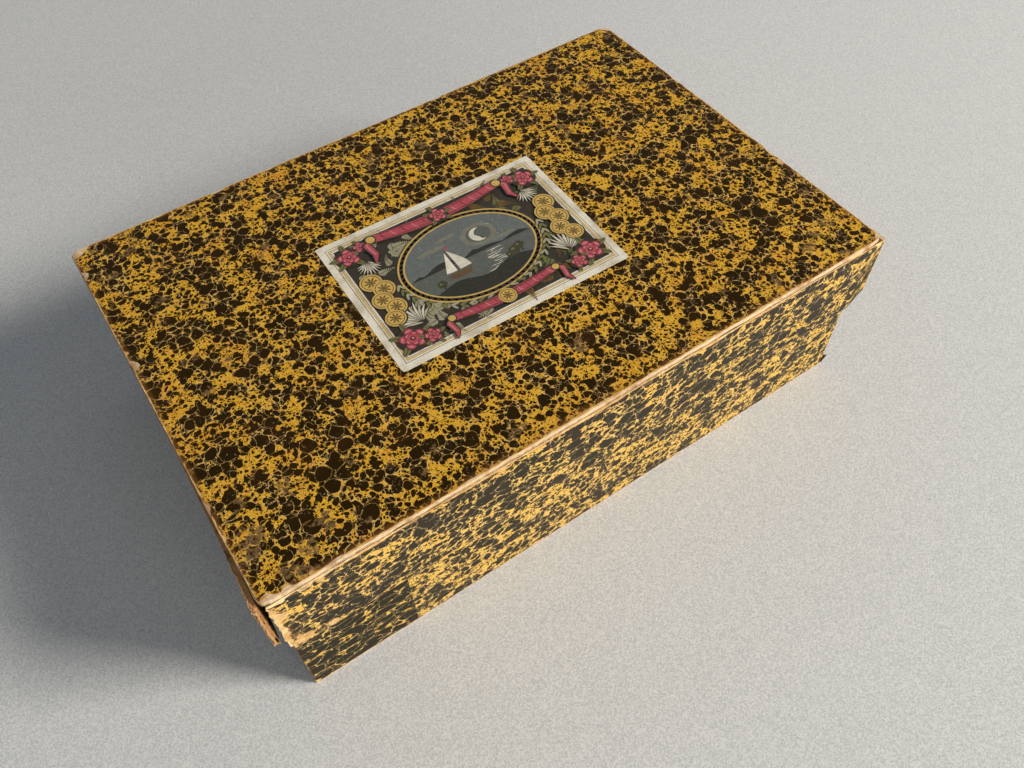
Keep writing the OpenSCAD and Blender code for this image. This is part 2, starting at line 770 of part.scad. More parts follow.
// Flange on the stage plate, cone, and the tube that guides the draw tube
module lens_mount() {
    r0 = fixed_tube_r;
    r1 = fixed_tube_r + cone_spread;
    bead = 2 * tube_t;
    color(BRASS) on_optic() polygon([
        [r1, plate_h], [r1 + flange_w, plate_h], [r1 + flange_w, plate_h + tube_t],
        [r1 + tube_t, plate_h + tube_t], [r0 + tube_t, tube_h0], [r0 + tube_t, tube_h1 - bead],
        [r0 + bead, tube_h1 - bead], [r0 + bead, tube_h1], [r0, tube_h1],
        [r0, tube_h0], [r1, plate_h + tube_t]]);
}

module draw_tube() {
    color(BRASS) on_optic() polygon([
        [draw_r - tube_t, draw_h0], [draw_r, draw_h0], [draw_r, draw_h1], [draw_r - tube_t, draw_h1]]);
}

module objective_lens() {
    r = draw_r - tube_t - objective_play;
    color(GLASS) on_optic() polygon(concat(
        cap(r, objective_bulge, draw_h1, 1),
        [for (i = [8:-1:0]) cap(r, objective_bulge, draw_h1 - lens_rim, -1)[i]]));
}

// Milled ring that closes the front of the draw tube and holds its lens
module objective_ring() {
    r = draw_r + ring_fit;
    rim = draw_r + ring_lip;
    notches = 24;
    bore = draw_r - tube_t;
    lip = bore - tube_t;
    color(BRASS) difference() {
        on_optic() polygon([
            [r, draw_h1 - ring_l], [rim, draw_h1 - ring_l], [rim, ring_front], [lip, ring_front],
            [lip, ring_front - objective_play], [bore, draw_h1], [r, draw_h1]]);
        in_lantern() translate([0, 0, optic_h]) rotate([90, 0, 0]) for (i = [0:notches - 1])
            rotate([0, 0, i * 360 / notches]) translate([rim, 0, draw_h1 - ring_l + 1])
                cylinder(r = ring_notch_r, h = ring_l - 2 * cut, $fn = 16);
    }
}

// ---- Rear door

module rear_door() {
    half = door_w / 2;
    color(RED) in_lantern() difference() {
        union() {
            block([-half + knuckle_gap, door_y, door_z0], [half, door_y + tin_t, door_z0 + door_h]);
            // rolled edge
            difference() {
                block([-half + knuckle_gap, door_y, door_z0], [half, door_y + 2 * tin_t, door_z0 + door_h]);
                block([-half + door_bead, door_y - cut, door_z0 + door_bead],
                    [half - door_bead, door_y + 2 * cut, door_z0 + door_h - door_bead]);
            }
            knuckle(0);
            at_knuckle(0) block([hinge_x, door_y, 0], [door_bead - half, door_y + tin_t, knuckle_h(0)]);
        }
        hinge_bore();
    }
}

module door_hinge_pin() {
    reach = 1.5 * knuckle_l;
    color(BRASS) in_lantern() translate([hinge_x, hinge_y, hinge_z]) {
        translate([0, 0, -reach - pin_end]) cylinder(r = pin_r, h = 2 * reach + pin_end + eps);
        translate([0, 0, reach]) cylinder(r = pin_head_r, h = pin_head_h);
    }
}

module door_knob() {
    x = door_w / 2 - 2 * knob_r;
    foot = 0.6 * knob_r;
    waist = 0.35 * knob_r;
    dome = 0.8 * knob_r;
    color(BRASS) in_lantern() translate([x, door_y + tin_t, hinge_z]) rotate([-90, 0, 0]) rotate_extrude()
        polygon(concat([[0, 0], [foot, 0], [waist, foot]], cap(knob_r, dome, dome, 1)));
}

// ---- Chimney, standing in its bay

module chimney_pipe() {
    color(JAPAN) translate([stand_x, stand_y, floor_z]) rotate_extrude() polygon(concat(
        [[pipe_r - tin_t, 0], [pipe_r, 0]],
        [for (z = pipe_beads, a = [0:30:180]) [pipe_r + pipe_bead_r * sin(a), z - pipe_bead_r * cos(a)]],
        [[pipe_r, pipe_l], [pipe_r - tin_t, pipe_l]]));
}

// Conical hat and band, carried on struts round the top of the pipe
module chimney_cowl() {
    clamp_r = pipe_r + cowl_play;
    clamp_z = cone_z - cowl_band_h - clamp_h;
    color(RED) translate([stand_x, stand_y, floor_z]) {
        rotate_extrude() polygon([
            [cowl_r - tin_t, cone_z - cowl_band_h], [cowl_r, cone_z - cowl_band_h], [cowl_r, cone_z],
            [cowl_r + tin_t, cone_z], [cowl_r + tin_t, cone_z + tin_t],
            [0, cone_z + cowl_cone_h + tin_t], [0, cone_z + cowl_cone_h],
            [cowl_r - tin_t, cone_z]]);
        for (i = [0:strut_count - 1]) rotate([0, 0, i * 360 / strut_count])
            block([clamp_r, -tin_t, clamp_z], [cowl_r - tin_t / 2, tin_t, clamp_z + 2 * clamp_h]);
        tube(clamp_r + tin_t, clamp_r, clamp_z, clamp_z + clamp_h);
    }
}

// ---- Lamp, drawn on its own base

module lamp_font() {
    t = font_t;
    r = font_r;
    c = font_curve;
    half_t = t / 2;
    color(BRASS) in_lamp() rotate_extrude() polygon([
        [0, 0], [r - c, 0], [r, c], [r, font_h - shoulder_h], [r - c, font_h - c],
        [r - shoulder_w, font_h], [font_neck, font_h], [font_neck, font_h - t],
        [r - shoulder_w - half_t, font_h - t], [r - t - c, font_h - c - t],
        [r - t, font_h - shoulder_h - half_t], [r - t, c + half_t], [r - c - half_t, t], [0, t]]);
}

module filler_cap() {
    x = -(burner_r + font_r - shoulder_w) / 2;
    color(BRASS) in_lamp() translate([x, 0, font_h]) {
        cylinder(r = filler_r - font_t, h = 2 * font_t);
        translate([0, 0, 2 * font_t]) cylinder(r = filler_r, h = filler_r * 0.7);
    }
}

// Opening in the burner and its tube that leaves room for the toothed wheels
module wheel_space() {
    translate([0, spindle_y, spindle_z]) rotate([0, 90, 0])
        cylinder(r = wheel_r + wheel_room, h = wick_w - 2 * cut, center = true);
}

module burner() {
    r = burner_r;
    t = font_t;
    half_w = wick_w / 2 + wick_play + wick_tube_t;
    half_t = wick_t / 2 + wick_play + wick_tube_t;
    color(BRASS) in_lamp() difference() {
        union() {
            rotate_extrude() polygon([
                [r - t, font_h], [r, font_h], [r, burner_z1 - t], [gallery_r, burner_z1 - t],
                [gallery_r, burner_z1 + gallery_h], [gallery_r - t, burner_z1 + gallery_h],
                [gallery_r - t, burner_z1], [r - t, burner_z1]]);
            translate([0, 0, burner_z1 - t]) cylinder(r = r, h = t);
        }
        plate(half_w, half_t, burner_z1 - cut, burner_z1 + cut);
        // draught holes round the wick
        for (i = [0:draught_count - 1]) rotate([0, 0, (i + 0.5) * 360 / draught_count])
            translate([(r + gallery_r) / 2 - t / 2, 0, burner_z1 - cut - t])
                cylinder(r = draught_r, h = t + 2 * cut, $fn = 16);
        // bearing for the spindle
        translate([0, spindle_y, spindle_z]) rotate([0, 90, 0])
            cylinder(r = spindle_r + spindle_play, h = 2 * r + 2 * cut, center = true);
    }
}

module wick_tube() {
    half_w = wick_w / 2 + wick_play;
    half_t = wick_t / 2 + wick_play;
    t = wick_tube_t;
    color(BRASS) in_lamp() difference() {
        plate(half_w + t, half_t + t, wick_tube_z0, wick_tube_z1);
        plate(half_w, half_t, wick_tube_z0 - cut, wick_tube_z1 + cut);
        wheel_space();
    }
}

module wick() { color(LINING) in_lamp() plate(wick_w / 2, wick_t / 2, wick_foot, wick_tube_z1 + wick_proud); }

// Spindle with two toothed wheels that climb the wick
module wick_spindle() {
    teeth = 10;
    color(BRASS) in_lamp() translate([0, spindle_y, spindle_z]) rotate([0, 90, 0]) {
        translate([0, 0, -burner_r - cut]) cylinder(r = spindle_r, h = burner_r + cut + knob_x);
        for (x = [-wheel_x, wheel_x])
            translate([0, 0, x - wheel_w / 2]) linear_extrude(wheel_w) difference() {
                circle(wheel_r);
                for (i = [0:teeth - 1]) rotate(i * 360 / teeth)
                    translate([wheel_r, 0]) circle(notch_r, $fn = 16);
            }
    }
}

module wick_knob() {
    notches = 16;
    color(BRASS) in_lamp() translate([knob_x, spindle_y, spindle_z]) rotate([0, 90, 0])
        difference() {
            cylinder(r = wick_knob_r, h = knob_t);
            for (i = [0:notches - 1]) rotate([0, 0, i * 360 / notches])
                translate([wick_knob_r, 0, -cut]) cylinder(r = notch_r, h = knob_t + 2 * cut, $fn = 16);
        }
}

// Smooth step from 0 to 1
function ease(t) = (1 - cos(180 * max(0, min(1, t)))) / 2;

// Outer radius of the waisted glass at share s of the height above its straight foot
function glass_r(s) = glass_foot_r + glass_belly * (ease(s / 0.25) - ease((s - 0.25) / 0.25))
    - glass_waist * ease((s - 0.3) / 0.7);

module lamp_glass() {
    steps = 14;
    rise = (glass_h - glass_foot_h) / steps;
    outline = concat([[glass_foot_r, 0]],
        [for (i = [0:steps]) [glass_r(i / steps), glass_foot_h + i * rise]]);
    color(GLASS) in_lamp() translate([0, 0, burner_z1]) rotate_extrude() polygon(concat(
        outline, [for (i = [steps + 1:-1:0]) outline[i] - [glass_t, 0]]));
}

// Dished tin reflector behind the glass, on a strip from the burner's gallery
module lamp_reflector() {
    inner = cap(reflector_r, reflector_dish, 0, 1);
    strip_z = burner_z1 + gallery_h / 4;
    strip_y = reflector_y + 2 * tin_t;
    color(TIN) in_lamp() {
        translate([0, reflector_y - reflector_dish, reflector_z]) rotate([-90, 0, 0]) rotate_extrude()
            polygon(concat(inner, [for (i = [8:-1:0]) inner[i] + [0, tin_t]]));
        block([-bracket_w / 2, gallery_r + eps, strip_z], [bracket_w / 2, strip_y, strip_z + tin_t]);
        block([-bracket_w / 2, reflector_y + tin_t / 2, strip_z],
            [bracket_w / 2, strip_y, reflector_z + bracket_w]);
    }
}

base_bottom_paper();
base_bottom_board();
base_front_wall();
base_back_wall();
base_left_wall();
base_right_wall();
base_paper_left();
base_paper_right();
base_corner_stays();
base_floor_lining();
lid_top_board();
lid_front_apron();
lid_back_apron();
lid_left_apron();
lid_right_apron();
lid_top_paper();
lid_front_paper();
lid_back_paper();
lid_left_paper();
lid_right_paper();
lid_lining();
lid_corner_stays();
picture_label();
cross_partition();
long_partition();
lamp_partition();
slide_shelf();
shelf_runners();
slide_comb_left();
slide_comb_right();
glass_slides();
slide_edgings();
lantern_base();
lantern_body();
lantern_roof();
chimney_collar();
stage_rails();
stage_plate();
stage_springs();
condenser_lens();
condenser_ring();
lens_mount();
draw_tube();
objective_lens();
objective_ring();
rear_door();
door_hinge_pin();
door_knob();
chimney_pipe();
chimney_cowl();
lamp_font();
filler_cap();
burner();
wick_tube();
wick();
wick_spindle();
wick_knob();
lamp_glass();
lamp_reflector();
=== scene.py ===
import math
import random
import bpy
import bmesh
from mathutils import Matrix, Vector, noise


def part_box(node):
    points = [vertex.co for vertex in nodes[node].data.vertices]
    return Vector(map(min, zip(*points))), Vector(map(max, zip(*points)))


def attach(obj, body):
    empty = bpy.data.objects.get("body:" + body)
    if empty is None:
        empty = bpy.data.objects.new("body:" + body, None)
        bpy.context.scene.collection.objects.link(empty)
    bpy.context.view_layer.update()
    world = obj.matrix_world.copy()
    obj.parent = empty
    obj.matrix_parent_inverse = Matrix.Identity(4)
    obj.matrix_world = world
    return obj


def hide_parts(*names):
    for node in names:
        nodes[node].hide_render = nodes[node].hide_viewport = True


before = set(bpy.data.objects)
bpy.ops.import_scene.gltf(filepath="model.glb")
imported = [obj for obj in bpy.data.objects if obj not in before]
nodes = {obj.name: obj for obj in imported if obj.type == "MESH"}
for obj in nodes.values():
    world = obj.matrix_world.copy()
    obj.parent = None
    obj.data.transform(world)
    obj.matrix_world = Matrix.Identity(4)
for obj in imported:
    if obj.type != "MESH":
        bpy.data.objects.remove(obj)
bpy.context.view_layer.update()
mm = 0.001
sheetScale = 100  # millimetres to one unit of a paper's own map
fullTurn = 2 * math.pi


def boxOf(node):
    low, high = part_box(node)
    return low / mm, high / mm  # the script models in millimetres


def ripple(seed, *place):  # smooth noise from -1 to 1
    return noise.noise(Vector([*place, 0.0, 0.0][:3]) + Vector((seed * 7.31, seed * 3.17, seed * 1.93)))


def rag(seed, *place):  # the same, from 0 to 1
    return abs(ripple(seed, *place))


def easeIn(value, low, high):
    share = min(1.0, max(0.0, (value - low) / (high - low)))
    return share * share * (3 - 2 * share)


def addObject(name, data):
    thing = bpy.data.objects.new(name, data)
    bpy.context.scene.collection.objects.link(thing)
    return thing


def meshObject(name, bm, material):
    mesh = bpy.data.meshes.new(name)
    bm.to_mesh(mesh)
    bm.free()
    mesh.materials.append(material)
    return addObject(name, mesh)


def finishPiece(name, bm, material, body, stoodFor=()):
    bmesh.ops.scale(bm, vec=(mm, mm, mm), verts=bm.verts)
    piece = meshObject(name, bm, material)
    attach(piece, body)
    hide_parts(*stoodFor)
    return piece


def giveWall(piece, thickness, name="wall"):  # inwards from the modelled face
    wall = piece.modifiers.new(name, "SOLIDIFY")
    wall.thickness, wall.offset = thickness * mm, -1.0


# shader nodes: the helpers add to the tree in hand and give back the socket to go on from
inHand = {}


def feed(node, key, value):
    if isinstance(value, bpy.types.NodeSocket):
        inHand["tree"].links.new(value, node.inputs[key])
    else:
        node.inputs[key].default_value = value


def addNode(kind, feeds=None, **settings):
    node = inHand["tree"].nodes.new("ShaderNode" + kind)
    for key, value in settings.items():
        setattr(node, key, value)
    for key, value in (feeds or {}).items():
        feed(node, key, value)
    return node


def calc(operation, a, b=0.0, c=0.0):
    return addNode("Math", {0: a, 1: b, 2: c}, operation=operation).outputs[0]


def plus(a, b):
    return calc("ADD", a, b)


def minus(a, b):
    return calc("SUBTRACT", a, b)


def times(a, b):
    return calc("MULTIPLY", a, b)


def most(a, b):
    return calc("MAXIMUM", a, b)


def timesPlus(a, b, c):
    return calc("MULTIPLY_ADD", a, b, c)


def distanceTo(where, point):
    return addNode("VectorMath", {0: where, 1: point}, operation="DISTANCE").outputs["Value"]


def ramp(value, low, high, toLow=0.0, toHigh=1.0):
    feeds = {"Value": value, "From Min": low, "From Max": high, "To Min": toLow, "To Max": toHigh}
    return addNode("MapRange", feeds, interpolation_type="SMOOTHSTEP").outputs["Result"]


def rgb(colour):
    return colour if isinstance(colour, bpy.types.NodeSocket) else (*colour, 1.0)


def blend(factor, a, b):
    return addNode("Mix", {0: factor, 6: rgb(a), 7: rgb(b)}, data_type="RGBA").outputs[2]


def stain(base, colour, field, low, high, least=0.0, full=1.0):  # more colour as the field rises
    return blend(ramp(field, low, high, least, full), base, colour)


def mmPoint(turn=(0, 0, 0), squeeze=(1, 1, 1)):
    coords = addNode("TexCoord").outputs["Object"]
    feeds = {"Vector": coords, "Rotation": turn, "Scale": [s / mm for s in squeeze]}
    return addNode("Mapping", feeds).outputs[0]


def cloud(where, size, detail=2.0, rough=0.5):
    feeds = {"Vector": where, "Scale": 1 / size, "Detail": detail, "Roughness": rough}
    return addNode("TexNoise", feeds).outputs[0]


def cells(where, size, feature="F1", flat="2D"):
    feeds = {"Vector": where, "Scale": 1 / size}
    return addNode("TexVoronoi", feeds, feature=feature, voronoi_dimensions=flat).outputs


def wave(where, scale, distortion, detail, detailScale=1.0, **settings):
    feeds = {"Vector": where, "Scale": scale, "Distortion": distortion, "Detail": detail,
             "Detail Scale": detailScale}
    return addNode("TexWave", feeds, **settings).outputs[1]


def startFinish(name, **point):
    material = bpy.data.materials.new(name)
    material.use_nodes = True
    inHand.update(material=material, tree=material.node_tree)
    return mmPoint(**point)


def endFinish(height, lift, strength, **sockets):
    names = dict(base="Base Color", rough="Roughness", metal="Metallic", specular="Specular IOR Level",
                 coat="Coat Weight", coatRough="Coat Roughness", glass="Transmission Weight", ior="IOR")
    shader = inHand["tree"].nodes["Principled BSDF"]
    for key, value in sockets.items():
        feed(shader, names[key], value)
    bump = addNode("Bump", {"Height": height, "Strength": strength, "Distance": lift * mm})
    feed(shader, "Normal", bump.outputs[0])
    return inHand["material"]


cameraLook = dict(  # metres, radians and millimetres of focal length
    place=(-0.13821, -0.24267, 0.37416), aim=(-0.01085, -0.04389, 0.04640), roll=-0.03232, lens=31.10,
    sensor=36.0, nearClip=0.01)


def placeCamera():
    camera = addObject("boxCamera", bpy.data.cameras.new("boxCamera"))
    place, aim = Vector(cameraLook["place"]), Vector(cameraLook["aim"])
    ahead = (aim - place).to_track_quat("-Z", "Y").to_matrix().to_4x4()
    camera.matrix_world = Matrix.Translation(place) @ ahead @ Matrix.Rotation(cameraLook["roll"], 4, "Z")
    camera.data.lens = cameraLook["lens"]
    camera.data.sensor_width = cameraLook["sensor"]
    camera.data.clip_start = cameraLook["nearClip"]
    bpy.context.scene.camera = camera


studio = dict(
    lamps=[dict(name="windowLight", place=(2.70, -2.38, 2.30), size=(1.26, 1.26), power=194.0,
                colour=(1.0, 0.965, 0.90)),
           dict(name="frontFill", place=(-0.15, -2.1, 0.55), size=(1.8, 0.7), power=15.5,
                colour=(0.90, 0.95, 1.0))],
    skyColour=(0.80, 0.89, 1.0), skyStrength=0.185, floorSize=8.0, floorSpeck=0.5, floorFibre=4.5,
    floorColour=(0.68, 0.67, 0.645), floorDark=(0.55, 0.55, 0.54), floorLight=(0.79, 0.77, 0.73))


def lightStudio():
    for look in studio["lamps"]:
        lamp = bpy.data.lights.new(look["name"], "AREA")
        lamp.shape = "RECTANGLE"
        lamp.size, lamp.size_y = look["size"]
        lamp.energy, lamp.color = look["power"], look["colour"]
        light = addObject(look["name"], lamp)
        light.location = look["place"]
        light.rotation_mode = "QUATERNION"
        light.rotation_quaternion = (-Vector(look["place"])).to_track_quat("-Z", "Y")
    world = bpy.data.worlds.new("studioSky")
    bpy.context.scene.world = world
    bpy.context.scene.view_settings.view_transform = "Standard"
    world.use_nodes = True
    inHand["tree"] = tree = world.node_tree
    seen = addNode("LightPath").outputs  # glass and metal show the same white as the camera sees
    direct = most(most(seen["Is Camera Ray"], seen["Is Transmission Ray"]), seen["Is Glossy Ray"])
    white = addNode("Background", {"Color": (1, 1, 1, 1), "Strength": 1.0}).outputs[0]
    sky = tree.nodes["Background"]
    feed(sky, "Color", rgb(studio["skyColour"]))
    feed(sky, "Strength", studio["skyStrength"])
    both = addNode("MixShader", {0: direct, 1: sky.outputs[0], 2: white}).outputs[0]
    feed(tree.nodes["World Output"], 0, both)


def layFloor():
    where = startFinish("paleTable")
    speck = addNode("SeparateColor", {0: cells(where, studio["floorSpeck"])["Color"]}).outputs[0]
    fibre = cloud(where, studio["floorFibre"], 3.0, 0.6)
    base = stain(studio["floorDark"], studio["floorLight"], speck, 0.0, 1.0)
    base = stain(base, studio["floorColour"], fibre, 0.3, 0.7, 0.0, 0.25)
    bm = bmesh.new()
    bmesh.ops.create_grid(bm, x_segments=8, y_segments=8, size=studio["floorSize"] / 2)
    floor = meshObject("table", bm, endFinish(speck, 0.05, 0.5, base=base, rough=0.8, specular=0.2))


marbling = dict(  # sizes and lengths in millimetres
    ground=(0.78, 0.40, 0.020), groundWarm=(0.70, 0.30, 0.016), groundPale=(0.94, 0.69, 0.27),
    rim=(0.88, 0.60, 0.25), drop=(0.022, 0.011, 0.002), dropBrown=(0.034, 0.016, 0.003),
    # sheenedDrop is a greyer, lighter black for the drops on the side sheets: a painted sheen
    sheenedDrop=(0.028, 0.023, 0.012), speck=(0.50, 0.42, 0.28), rubbed=(0.22, 0.125, 0.05),
    tone=(0.30, 0.12, 0.03), bare=(0.66, 0.35, 0.11), barePale=(0.94, 0.66, 0.30),
    veinWidth=(-0.32, 0.58), gap=0.06, rimWidth=0.24, soft=0.06,
    clusters=9.5, veins=5.0, tints=15.0, fine=0.8, specks=0.75, speckPatches=4.5, scuffs=9.0,
    scuffLine=0.70, scuffWorn=0.08, rubGain=0.09,
    warps=((8.0, 2.4), (2.4, 1.0), (0.9, 0.30)),  # size of each swirl and how far it pushes
    # each layer of drops: the share of cells that hold one, how far they keep together, the strength of
    # their pale rims, and their least and most radius in shares of a cell
    drops=[dict(size=5.6, chance=0.34, gather=3.2, rim=1.0, least=0.38, most=0.58),
           dict(size=3.6, chance=0.60, gather=3.0, rim=1.0, least=0.34, most=0.56),
           dict(size=2.3, chance=0.62, gather=2.0, rim=0.9, least=0.32, most=0.54),
           dict(size=1.4, chance=0.64, gather=0.6, rim=0.5, least=0.26, most=0.48),
           dict(size=0.80, chance=0.62, gather=-0.4, rim=0.0, least=0.20, most=0.42)])


def bareEdges(where, edges):
    # masks of what is worn through and what is browned; an edge is axis, place, way in, reach of each, and
    # at a corner, which is worn on both of its faces, a second line
    axes = addNode("SeparateXYZ", {0: where}).outputs
    wander = minus(cloud(where, 2.6, 3.0, 0.65), 0.5)
    slow = cloud(where, 24.0, 2.0)
    bare, toned = 0.0, 0.0
    for axis, at, inward, bareReach, toneReach, *corner in edges:
        lines = [times(minus(axes[line], place), way) for line, place, way in [(axis, at, inward), *corner]]
        away = most(*lines) if corner else lines[0]
        reach = plus(times(wander, 2.4 * bareReach),
                     ramp(slow, 0.35, 0.72, 0.25 * bareReach, 1.7 * bareReach))
        left = minus(away, reach)
        bare = most(bare, ramp(left, -0.20, 0.20, 0.94, 0.0))
        toned = most(toned, ramp(left, 0.0, toneReach, 1.0, 0.0))
    return bare, toned


def warped(where):  # pushes the pattern about as swirls do in the bath
    for size, reach in marbling["warps"]:
        feeds = {"Vector": where, "Scale": 1 / size, "Detail": 1.0}
        push = addNode("TexNoise", feeds, noise_dimensions="2D").outputs[1]
        push = addNode("VectorMath", {0: push, 1: (0.5, 0.5, 0.5)}, operation="SUBTRACT").outputs[0]
        feeds = {0: push, 1: (reach, reach, 0), 2: where}
        where = addNode("VectorMath", feeds, operation="MULTIPLY_ADD").outputs[0]
    return where


def dropLayers(where, crowd):
    # masks of the dark drops and of their pale rims; a smaller drop lies only where no larger one does
    look = marbling
    vein = ramp(cloud(where, look["veins"], 2.0), 0.36, 0.64, *look["veinWidth"])
    free, black, rims = 1.0, 0.0, 0.0
    for layer in look["drops"]:
        size, gather, spread = layer["size"], layer["gather"], layer["most"] - layer["least"]
        near = cells(where, size)
        edge = cells(where, size, "DISTANCE_TO_EDGE")[0]
        chance = addNode("SeparateColor", {0: near["Color"]}).outputs
        odds = timesPlus(crowd, gather, layer["chance"] - gather / 2)
        picked = calc("GREATER_THAN", minus(odds, chance[0]), 0.0)
        radius = timesPlus(chance[1], spread * size, layer["least"] * size)
        inside = minus(radius, times(near["Distance"], size))
        inside = calc("MINIMUM", inside, minus(times(edge, size), times(vein, 0.5)))
        inside = minus(times(plus(inside, 9.0), picked), 9.0)  # far outside where the cell holds no drop
        taken = times(ramp(inside, -look["soft"], look["soft"]), free)
        ring = ramp(inside, -look["rimWidth"], 0.0)
        rims = most(rims, times(ring, times(free, layer["rim"])))
        black = most(black, taken)
        free = times(free, ramp(inside, -look["gap"] - look["soft"], -look["gap"] + look["soft"], 1.0, 0.0))
    return black, rims


def marbledPaper(name, shift=(0, 0), stretch=(1.0, 1.0), dark=0.0, worn=0.5, pale=0.0, dropSheen=0.0, gloss=0.02,
                 edges=(), spots=(), rubs=()):
    look = marbling
    still = startFinish(name)
    flat = addNode("UVMap", uv_map="sheet").outputs[0]  # the sheet as it lay in the marbler's bath
    feeds = {"Vector": flat, "Location": (*shift, 0), "Scale": (*[sheetScale / way for way in stretch], 1)}
    where = warped(addNode("Mapping", feeds).outputs[0])
    crowd = plus(cloud(where, look["clusters"], 2.0), dark)
    black, rims = dropLayers(where, crowd)
    tint = cloud(still, look["tints"], 3.0, 0.6)
    fine = cloud(where, look["fine"], 2.0, 0.6)
    base = stain(look["ground"], look["groundWarm"], tint, 0.45, 0.72)
    base = stain(base, look["groundPale"], fine, 0.46, 0.72, 0.0, 0.5)
    base = stain(base, look["tone"], fine, 0.46, 0.26, 0.0, 0.45)
    base = blend(times(rims, ramp(crowd, 0.42, 0.58, 0.20, 0.85)), base, look["rim"])
    # a paler ground on the side sheets: partly fading, partly painted light and sheen of the brighter side
    # faces
    if pale:
        base = stain(base, look["groundPale"], tint, 0.35, 0.65, 0.6 * pale, pale)
    # on the side sheets the drops are mixed towards a greyer, lighter black: painted sheen
    dropTint = stain(look["drop"], look["dropBrown"], tint, 0.4, 0.7)
    dropTint = blend(dropSheen, dropTint, look["sheenedDrop"])
    specks = times(ramp(cloud(where, look["specks"], 2.0, 0.6), 0.63, 0.69),
                   ramp(cloud(where, look["speckPatches"], 2.0), 0.50, 0.60))
    dropTint = blend(times(specks, 0.9), dropTint, look["speck"])
    base = blend(black, base, dropTint)
    scuffs = cloud(still, look["scuffs"], 3.0, 0.6)
    for *point, reach in rubs:  # more scuffs round a few places
        scuffs = plus(scuffs, ramp(distanceTo(still, point), reach, 0.3 * reach, 0.0, look["rubGain"]))
    line = look["scuffLine"] - look["scuffWorn"] * worn
    patch = times(ramp(scuffs, line, line + 0.05), ramp(cloud(still, 1.4, 2.0, 0.7), 0.40, 0.56))
    base = blend(times(patch, 0.85), base, look["rubbed"])
    bare, toned = bareEdges(still, edges)
    base = blend(times(toned, 0.4), base, look["tone"])
    wander = minus(cloud(still, 2.2, 3.0, 0.65), 0.5)
    for *point, reach in spots:  # rubbed through to the board
        away = plus(distanceTo(still, point), times(wander, reach * 1.6))
        bare = most(bare, ramp(away, reach - 0.5, reach + 0.3, 0.85, 0.0))
    under = stain(look["bare"], look["barePale"], cloud(still, 4.0, 3.0, 0.6), 0.35, 0.7)
    under = stain(under, look["tone"], cloud(still, 0.8, 2.0, 0.7), 0.58, 0.72, 0.0, 0.6)
    base = blend(bare, base, under)
    worn = most(patch, bare)
    rough = most(ramp(black, 0.0, 1.0, 0.62, 0.44), times(worn, 0.85))
    height = minus(timesPlus(black, 0.35, cloud(still, 0.35, 2.0, 0.6)), times(worn, 1.5))
    return endFinish(height, 0.05, 0.6, base=base, rough=rough, specular=gloss)


def mapSheet(bm, spot):  # spot gives each vertex its place on the flat sheet, in millimetres
    layer = bm.loops.layers.uv.new("sheet")
    for face in bm.faces:
        for loop in face.loops:
            along, up = spot(loop.vert)
            loop[layer].uv = (along / sheetScale, up / sheetScale)


def sheetPiece(name, size, place, thickness, material, body, stoodFor=(), length=300.0):
    # a grid laid out by place(u, v), which gives the outer face, then given its thickness inwards
    bm = bmesh.new()
    bmesh.ops.create_grid(bm, x_segments=size[0], y_segments=size[1], size=0.5)
    columns = {}
    for vert in bm.verts:
        u, v = vert.co.x + 0.5, vert.co.y + 0.5
        vert.co = place(u, v)
        columns.setdefault(round(u * 10000), []).append((v, vert))
    flat = {}
    for column, rows in columns.items():  # the map runs along the folded sheet
        rows.sort(key=lambda row: row[0])
        up = 0.0
        for (_, vert), (_, before) in zip(rows, rows[:1] + rows[:-1]):
            up += (vert.co - before.co).length
            flat[vert] = (column / 10000 * length, up)
    mapSheet(bm, lambda vert: flat[vert])
    bmesh.ops.dissolve_degenerate(bm, dist=0.004, edges=bm.edges)
    giveWall(finishPiece(name, bm, material, body, stoodFor), thickness)


lidLook = dict(  # lengths in millimetres
    springOut=2.6, springFrom=0.5, boardEdge=0.35, cornerRadius=2.2, apronClip=8.3, clipLength=9.0,
    margins=(0.5, 0.5, 0.45, 0.5),  # of the top paper: left, right, front, back
    edgeBand=3.0, ragged=0.35, turnIn=12.0, paper=0.2,
    frontLeft=-148.6, frontArc=0.5,  # where the front paper starts, and its turn round the right corner
    turnedRow=0.14, faceRow=0.20,  # rows of a side paper: turned up inside, under the edge, then the face
    underEdge=2.2, cornerFree=2.4,
    apronLeft=-148.0, frontApronRight=150.55, backApronRight=148.0,
    plies=[dict(name="", depth=0.0, thick=0.8, short=0.0, seed=13),
           dict(name="InnerPly", depth=0.8, thick=1.0, short=1.8, seed=17)],
    # wear round the top as x, y, reach, depth, and along the front's upper edge as x, reach, depth
    boardChips=[(-150, -100, 5.0, 1.3), (150, -100, 6.0, 1.1), (-150, 100, 4.0, 1.0), (150, 100, 4.0, 0.9),
                (-150, 82, 3.0, 0.7), (-150, 22, 3.5, 0.5), (-96, -100, 5.0, 0.5), (61, -100, 7.0, 0.4)],
    paperBites=[(-150, 82, 3.5, 2.2), (-150, 22, 5.0, 3.0), (-147, 99, 6.5, 4.6), (-146, -98, 5.0, 3.0),
                (-139, -100, 4.0, 1.3), (-121, -100, 6.0, 1.0), (-64, -100, 4.0, 0.6), (149, -99, 4.5, 1.6),
                (96, -100, 5.0, 0.8), (20, -100, 6.0, 0.5), (149, 99, 6.0, 3.0), (150, 40, 5.0, 1.0),
                (150, -30, 6.0, 1.2), (-150, -55, 5.0, 1.2), (40, 100, 5.0, 0.8), (-80, 100, 6.0, 0.9)],
    frontBites=[(-144, 6.5, 2.6), (-134, 4.5, 3.4), (-126, 5.5, 2.0), (-118, 3.0, 1.2), (-98, 3.0, 0.9),
                (-58, 4.0, 0.6), (60, 5.0, 0.7), (103, 4.0, 0.8), (149.5, 3.5, 2.0)])

